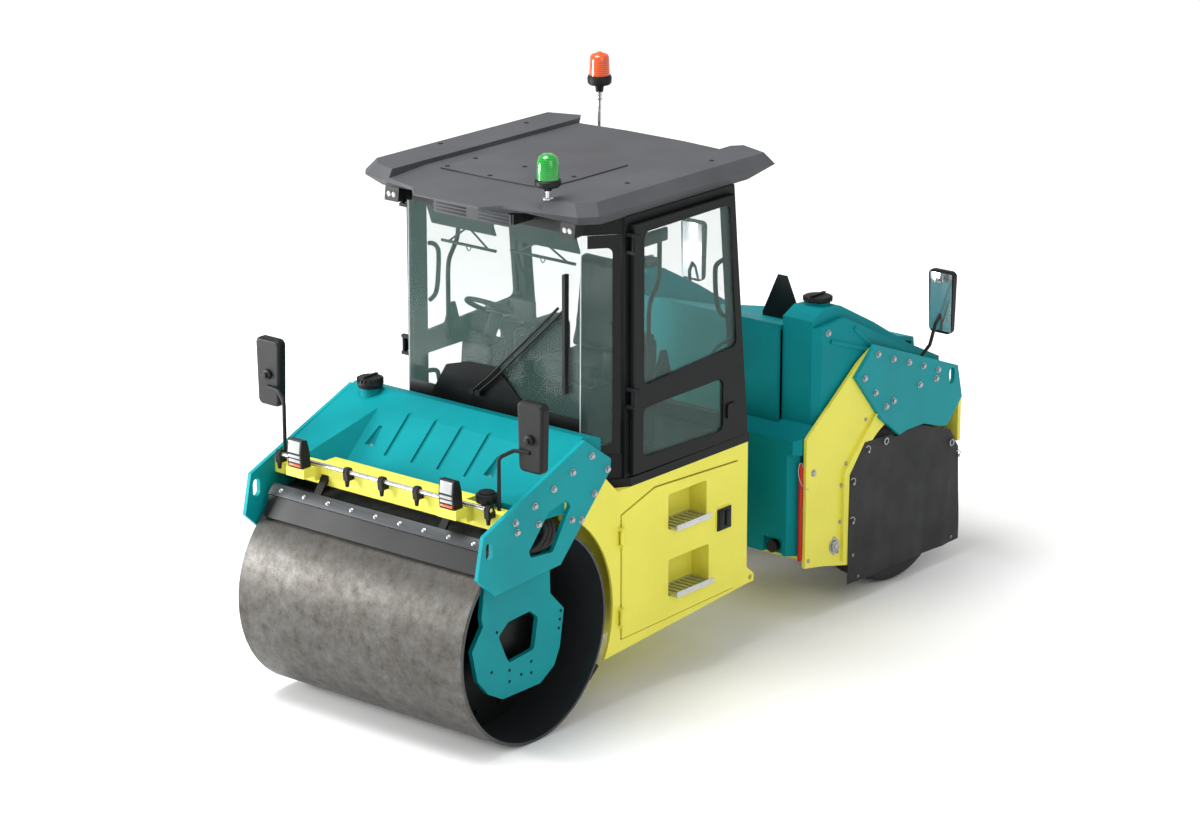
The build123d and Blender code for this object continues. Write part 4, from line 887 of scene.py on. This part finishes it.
# Roof panel, its plugs and the louvred grille under the brow
roofSet = {"plan": [(1.052, -0.433), (1.058, -0.100), (1.050, 0.240), (1.020, 0.335), (0.757, 0.350),
                    (0.330, 0.350), (0.330, -0.433)],
           "low": 2.9455, "high": 2.955, "ridge": 2.972, "edge": 0.0025, "plugRadius": 0.015,
           "panelPlugs": [(0.770, -0.415), (1.011, -0.415), (1.029, -0.081), (0.744, -0.067),
                          (0.749, 0.300)],
           "ridgePlugs": [(0.680, -0.761), (-0.036, -0.721), (0.729, 0.668), (0.014, 0.703)],
           "grilleFace": 1.270, "grilleHalf": 0.285, "grilleZ": (2.762, 2.838),
           "bars": (2.774, 2.794, 2.814), "barTall": 0.012, "barInner": 0.045}


def roofPlug(x, y, z):
    return addTurned([(0, z), (roofSet["plugRadius"], z), (roofSet["plugRadius"], z + 0.0015),
                      (0.009, z + 0.004), (0, z + 0.004)], x, y, 20)


def louvredGrille():
    face, half, (low, high) = roofSet["grilleFace"], roofSet["grilleHalf"], roofSet["grilleZ"]
    copies = [addBox((face, -half, low), (face + 0.006, half, high), 0.002)]
    for level in roofSet["bars"]:
        for inner, outer in ((roofSet["barInner"], half - 0.018), (-half + 0.018, -roofSet["barInner"])):
            wedge = addPrism([(face + 0.005, level), (face + 0.012, level),
                              (face + 0.006, level + roofSet["barTall"])],
                             inner, outer, 0.001)
            copies.append(wedge)
    return joinAll(copies)


panel = addPrism(roofSet["plan"], roofSet["low"], roofSet["high"], roofSet["edge"], upright=True)
finishPiece(panel, "roofPanel", "front_frame", roofPlastic)
plugs = [roofPlug(x, y, roofSet["high"]) for x, y in roofSet["panelPlugs"]]
plugs += [roofPlug(x, y, roofSet["ridge"]) for x, y in roofSet["ridgePlugs"]]
finishPiece(joinAll(plugs), "roofPlugs", "front_frame", blackPlastic)
finishPiece(louvredGrille(), "roofGrille", "front_frame", roofPlastic)
print("roof details done")

# Front beam's broad top, the hoses in the plates' slots and the small holes of the yoke arms
frontSet = {"topX": (1.856, 1.9498), "topHalf": 0.530, "topZ": (1.300, 1.412), "hoseRadius": 0.0135,
            "hoses": [[(1.668, 0.846, 1.262), (1.672, 0.862, 1.254), (1.684, 0.872, 1.220),
                       (1.715, 0.872, 1.180), (1.765, 0.870, 1.152), (1.805, 0.848, 1.137),
                       (1.812, 0.810, 1.095)],
                      [(1.640, 0.846, 1.262), (1.643, 0.862, 1.254), (1.650, 0.872, 1.212),
                       (1.678, 0.872, 1.168), (1.722, 0.870, 1.142), (1.762, 0.848, 1.130),
                       (1.775, 0.810, 1.090)],
                      [(1.612, 0.846, 1.262), (1.612, 0.862, 1.254), (1.615, 0.872, 1.208),
                       (1.632, 0.872, 1.168), (1.662, 0.870, 1.143), (1.690, 0.848, 1.127),
                       (1.700, 0.810, 1.088)]],
            "yokeHoles": [(1.926, 0.674), (1.382, 0.649), (1.390, 0.600), (1.400, 0.550), (1.973, 0.453),
                          (1.823, 0.422), (1.824, 0.357), (1.724, 0.369), (1.638, 0.421), (1.638, 0.354)],
            "yokeFace": 0.725, "headRing": 0.500, "headBolts": 16}


def beamTop():
    (xa, xb), half, (za, zb) = frontSet["topX"], frontSet["topHalf"], frontSet["topZ"]
    points = [(xa, zb - 0.012), (xa, zb), (xb, zb), (xb, za), (xb - 0.008, za), (xb - 0.008, zb - 0.012)]
    shell = addPrism(points, -half, half, 0.002)
    ends = [addPrism([(xa, zb - 0.012), (xb - 0.008, zb - 0.012), (xb - 0.008, za)], y, y + 0.008, 0.001)
            for y in (-half, half - 0.008)]
    return joinAll([shell] + ends)


def holePlug(x, z):
    face = frontSet["yokeFace"]
    rim = addRod((x, face, z), (x, face + 0.003, z), 0.009, 16, 0.001)
    core = addRod((x, face + 0.002, z), (x, face + 0.005, z), 0.006, 6, 0.001)
    return joinAll([rim, core])


headBolts = []
for place in range(frontSet["headBolts"]):
    turn = 2 * pi * (place + 0.5) / frontSet["headBolts"]
    spot = (drumSet["axleX"] + frontSet["headRing"] * cos(turn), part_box("drum_heads")[1][1],
            drumSet["axleZ"] + frontSet["headRing"] * sin(turn))
    headBolts.append(copyAt(plateBolt, Matrix.Translation(spot) @ outward["left"]))
headBolts = joinAll(headBolts)
finishPair(headBolts, "drumHeadBolts", "drum", blackSteel, 30)
finishPiece(beamTop(), "beamTop", "front_frame", yellowPaint)
hoses = joinAll([addTube(route, frontSet["hoseRadius"], 16) for route in frontSet["hoses"]])
finishPair(hoses, "drumHoses", "front_frame", hoseRubber, 60)
yokePlugs = joinAll([holePlug(x, z) for x, z in frontSet["yokeHoles"]])
finishPair(yokePlugs, "yokePlugs", "front_frame", blackSteel)
print("front details done")

# Roller blinds behind the windscreen, on scissor arms
blindSet = {"x": 1.000, "top": 2.690, "bars": [(-0.476, -0.065, 2.512), (0.042, 0.519, 2.537)],
            "barRadius": 0.009, "armRadius": 0.006}


def rollerBlind(yLow, yHigh, z):
    x, top, middle = blindSet["x"], blindSet["top"], (yLow + yHigh) / 2
    bar = addRod((x, yLow, z), (x, yHigh, z), blindSet["barRadius"], 14, 0.002)
    roll = addRod((x, yLow + 0.03, top - 0.024), (x, yHigh - 0.03, top - 0.024), 0.024, 20, 0.003)
    arms = [addRod((x - 0.004, yLow + 0.05, z), (x - 0.004, middle + 0.06, top - 0.024),
                   blindSet["armRadius"], 10),
            addRod((x + 0.004, yHigh - 0.05, z), (x + 0.004, middle - 0.06, top - 0.024),
                   blindSet["armRadius"], 10)]
    pull = addTube([(x, middle - 0.02, z), (x, middle - 0.012, z - 0.03), (x, middle + 0.012, z - 0.03),
                    (x, middle + 0.02, z)], 0.003)
    return joinAll([bar, roll, pull] + arms)


blinds = joinAll([rollerBlind(*bar) for bar in blindSet["bars"]])
finishPiece(blinds, "rollerBlinds", "front_frame", blackPlastic)
print("blinds done")

# Arm consoles beside the seat, each with a hand lever, and a display on a stalk
consoleSet = {"x": (0.270, 0.660), "z": (1.326, 1.950), "inner": (-0.245, -0.115), "outer": (0.415, 0.530),
              "rounding": 0.030, "padTall": 0.028, "leverX": 0.590, "leverTop": 2.060, "leverRadius": 0.012,
              "gripRadius": 0.026, "display": ((0.700, -0.200, 2.040), (0.735, -0.020, 2.165)),
              "stalk": [(0.600, -0.180, 1.930), (0.650, -0.140, 1.980), (0.700, -0.110, 2.030),
                        (0.705, -0.110, 2.070)]}


def armConsole(yLow, yHigh):
    (xa, xb), (za, zb), top = consoleSet["x"], consoleSet["z"], consoleSet["leverTop"]
    middle, lever = (yLow + yHigh) / 2, consoleSet["leverX"]
    case = addPrism([(xa, za), (xb - 0.14, za), (xb - 0.12, zb - 0.34), (xb, zb - 0.16), (xb, zb), (xa, zb)],
                    yLow, yHigh, consoleSet["rounding"], 3)
    pad = addBox((xa + 0.02, yLow + 0.012, zb - 0.004),
                 (lever - 0.05, yHigh - 0.012, zb + consoleSet["padTall"]), 0.012)
    stick = addRod((lever, middle, zb - 0.01), (lever + 0.014, middle, top), consoleSet["leverRadius"], 12,
                   0.002)
    grip = addRod((lever + 0.012, middle, top - 0.030), (lever + 0.020, middle, top + 0.045),
                  consoleSet["gripRadius"], 16, 0.012)
    return joinAll([case, pad, stick, grip])


low, high = consoleSet["display"]
display = joinAll([addBox(low, high, 0.010), addTube(consoleSet["stalk"], 0.010)])
consoles = joinAll([armConsole(*consoleSet["inner"]), armConsole(*consoleSet["outer"]), display])
finishPiece(consoles, "armConsoles", "front_frame", blackPlastic)
print("consoles done")

# Edges of the cab's front glass: rounded corner joints, pale beads and the dark printed bands
glassSet = {"face": 1.108, "lean": 0.010, "half": 0.640, "low": 1.590, "high": 2.740, "thick": 0.008,
            "beadRadius": 0.0032, "sidePane": ((1.079, 0.670), (0.930, 0.785)), "sideLow": 1.470,
            "bandTall": 0.094, "bandThick": 0.0015, "sideBand": 0.046, "sideTop": 0.075, "sideFoot": 0.052,
            "sideRound": 0.035}


def cornerJoint():
    face, half, low, high = (glassSet[key] for key in ("face", "half", "low", "high"))
    endX, endY = glassSet["sidePane"][0]
    plan = [(face, half), (face - 0.006, half + 0.014), (endX, endY), (endX - 0.005, endY - 0.007),
            (face - 0.014, half + 0.007), (face - glassSet["thick"], half)]
    joint = addPrism(plan, low, high, upright=True)
    for vertex in joint.data.vertices:
        if vertex.co.z > high - 0.1 and vertex.co.x > endX + 0.002:
            vertex.co.x -= glassSet["lean"]
    return joint


def sideBand():
    (startX, startY), (endX, endY) = glassSet["sidePane"]
    along = Vector((endX - startX, endY - startY, 0))
    long, low, high = along.length, glassSet["sideLow"], glassSet["high"]
    inner, bend = long - glassSet["sideBand"], glassSet["sideRound"]
    foot, top = low + glassSet["sideFoot"], high - glassSet["sideTop"]
    points = [(0, low), (long, low), (long, high), (0, high), (0, top)]
    points += [(inner - bend + bend * sin(turn), top - bend + bend * cos(turn))
               for turn in (radians(15 * step) for step in range(7))]
    points += [(inner - bend + bend * cos(turn), foot + bend - bend * sin(turn))
               for turn in (radians(15 * step) for step in range(7))]
    points.append((0, foot))
    band = addPrism(points, -glassSet["bandThick"], -0.0001)
    along.normalize()
    out = Vector((along.y, -along.x, 0))
    place = Matrix((along, -out, (0, 0, 1))).transposed().to_4x4()
    place.translation = (startX, startY, 0)
    band.data.transform(place)
    return band


def screenBand():
    face, half, low = glassSet["face"], glassSet["half"] - 0.002, glassSet["low"]
    top, front = low + glassSet["bandTall"], face + glassSet["bandThick"]
    band = addBox((face - 0.0005, -half, low + 0.0005), (front, half, top), 0.0005)
    for vertex in band.data.vertices:
        vertex.co.x -= glassSet["lean"] * (vertex.co.z - low) / (glassSet["high"] - low)
    return band


joint = cornerJoint()
bead = addRod((glassSet["face"], glassSet["half"], glassSet["low"]),
              (glassSet["face"] - glassSet["lean"], glassSet["half"], glassSet["high"]),
              glassSet["beadRadius"], 10)
finishPair(joint, "glassJoint", "front_frame", cabGlass)
finishPair(bead, "glassBead", "front_frame", lampGlass)
finishPair(sideBand(), "sidePaneBand", "front_frame", blackPlastic)
finishPiece(screenBand(), "windscreenBand", "front_frame", blackPlastic)
print("glass edges done")

# Floor, light and camera
# glowNear, glowFar and glow set the floor's painted glow, which leaves painted shade round the machine
stageSet = {"floorHalf": 90.0, "floorTone": "#F7F7F7", "glowNear": 2.4, "glowFar": 6.5, "glow": 0.42,
            "worldStrength": 0.62,
            "softboxes": {"keySoftbox": ((4.2, -1.6, 12.0), (0.4, 0, 1.0), 7.0, 1700.0),
                          "fillSoftbox": ((4.0, 11.0, 7.0), (0, 0, 1.2), 7.0, 330.0),
                          "drumSoftbox": ((6.2, -6.4, 2.4), (2.0, -0.8, 0.7), 2.2, 800.0)},
            "cameraPlace": (17.2772, 14.1065, 8.2551), "yaw": -140.5133, "pitch": 17.3267, "lens": 118.608}
deselectAll()
bpy.ops.mesh.primitive_plane_add(size=2 * stageSet["floorHalf"], location=(0, 0, 0))
floor = bpy.context.object
floor.name = "studioFloor"
floorPaint, tree, shader, place = newMaterial("palePaintedFloor")
drift = addNode(tree, "TexNoise", values={"Scale": grainScale(2600), "Detail": 2.0, "Roughness": 0.55},
                links={"Vector": place})
addNode(tree, "ValToRGB", links={"Fac": drift.outputs["Fac"]},
        stops=[(0.2, "#F4F4F4"), (0.8, stageSet["floorTone"])], into=shader.inputs["Base Color"])
shader.inputs["Roughness"].default_value = 0.6
shader.inputs["Emission Color"].default_value = toLinear(stageSet["floorTone"])
# The floor's painted glow grows away from the machine, so that the floor round it stays darker as painted
# shade
flat = addNode(tree, "VectorMath", {"operation": "LENGTH"}, links={0: place})
reach = addNode(tree, "MapRange", {"interpolation_type": "SMOOTHSTEP"},
                {"From Min": stageSet["glowNear"], "From Max": stageSet["glowFar"], "To Min": 0.0,
                 "To Max": stageSet["glow"]}, {"Value": flat.outputs["Value"]})
tree.links.new(reach.outputs["Result"], shader.inputs["Emission Strength"])
floor.data.materials.append(floorPaint)

world = bpy.data.worlds.new("studioWorld")
world.use_nodes = True
world.node_tree.nodes["Background"].inputs["Color"].default_value = (1, 1, 1, 1)
world.node_tree.nodes["Background"].inputs["Strength"].default_value = stageSet["worldStrength"]
scene.world = world


def softLight(name, place, target, size, power):
    data = bpy.data.lights.new(name, "AREA")
    data.shape = "SQUARE"
    data.size = size
    data.energy = power
    lamp = bpy.data.objects.new(name, data)
    lamp.location = place
    lamp.rotation_euler = (Vector(target) - Vector(place)).to_track_quat("-Z", "Y").to_euler()
    scene.collection.objects.link(lamp)


for name, (place, target, size, power) in stageSet["softboxes"].items():
    softLight(name, place, target, size, power)

cameraData = bpy.data.cameras.new("photoCamera")
cameraData.sensor_width = 36
cameraData.sensor_fit = "HORIZONTAL"
cameraData.lens = stageSet["lens"]
cameraData.clip_end = 300
camera = bpy.data.objects.new("photoCamera", cameraData)
camera.location = stageSet["cameraPlace"]
yaw, pitch = radians(stageSet["yaw"]), radians(stageSet["pitch"])
gaze = Vector((cos(yaw) * cos(pitch), sin(yaw) * cos(pitch), -sin(pitch)))
camera.rotation_euler = gaze.to_track_quat("-Z", "Y").to_euler()
scene.collection.objects.link(camera)
scene.camera = camera
scene.view_settings.view_transform = "Standard"
print("stage set")

bpy.data.objects.remove(plateBolt)
bpy.data.objects.remove(smallBolt)
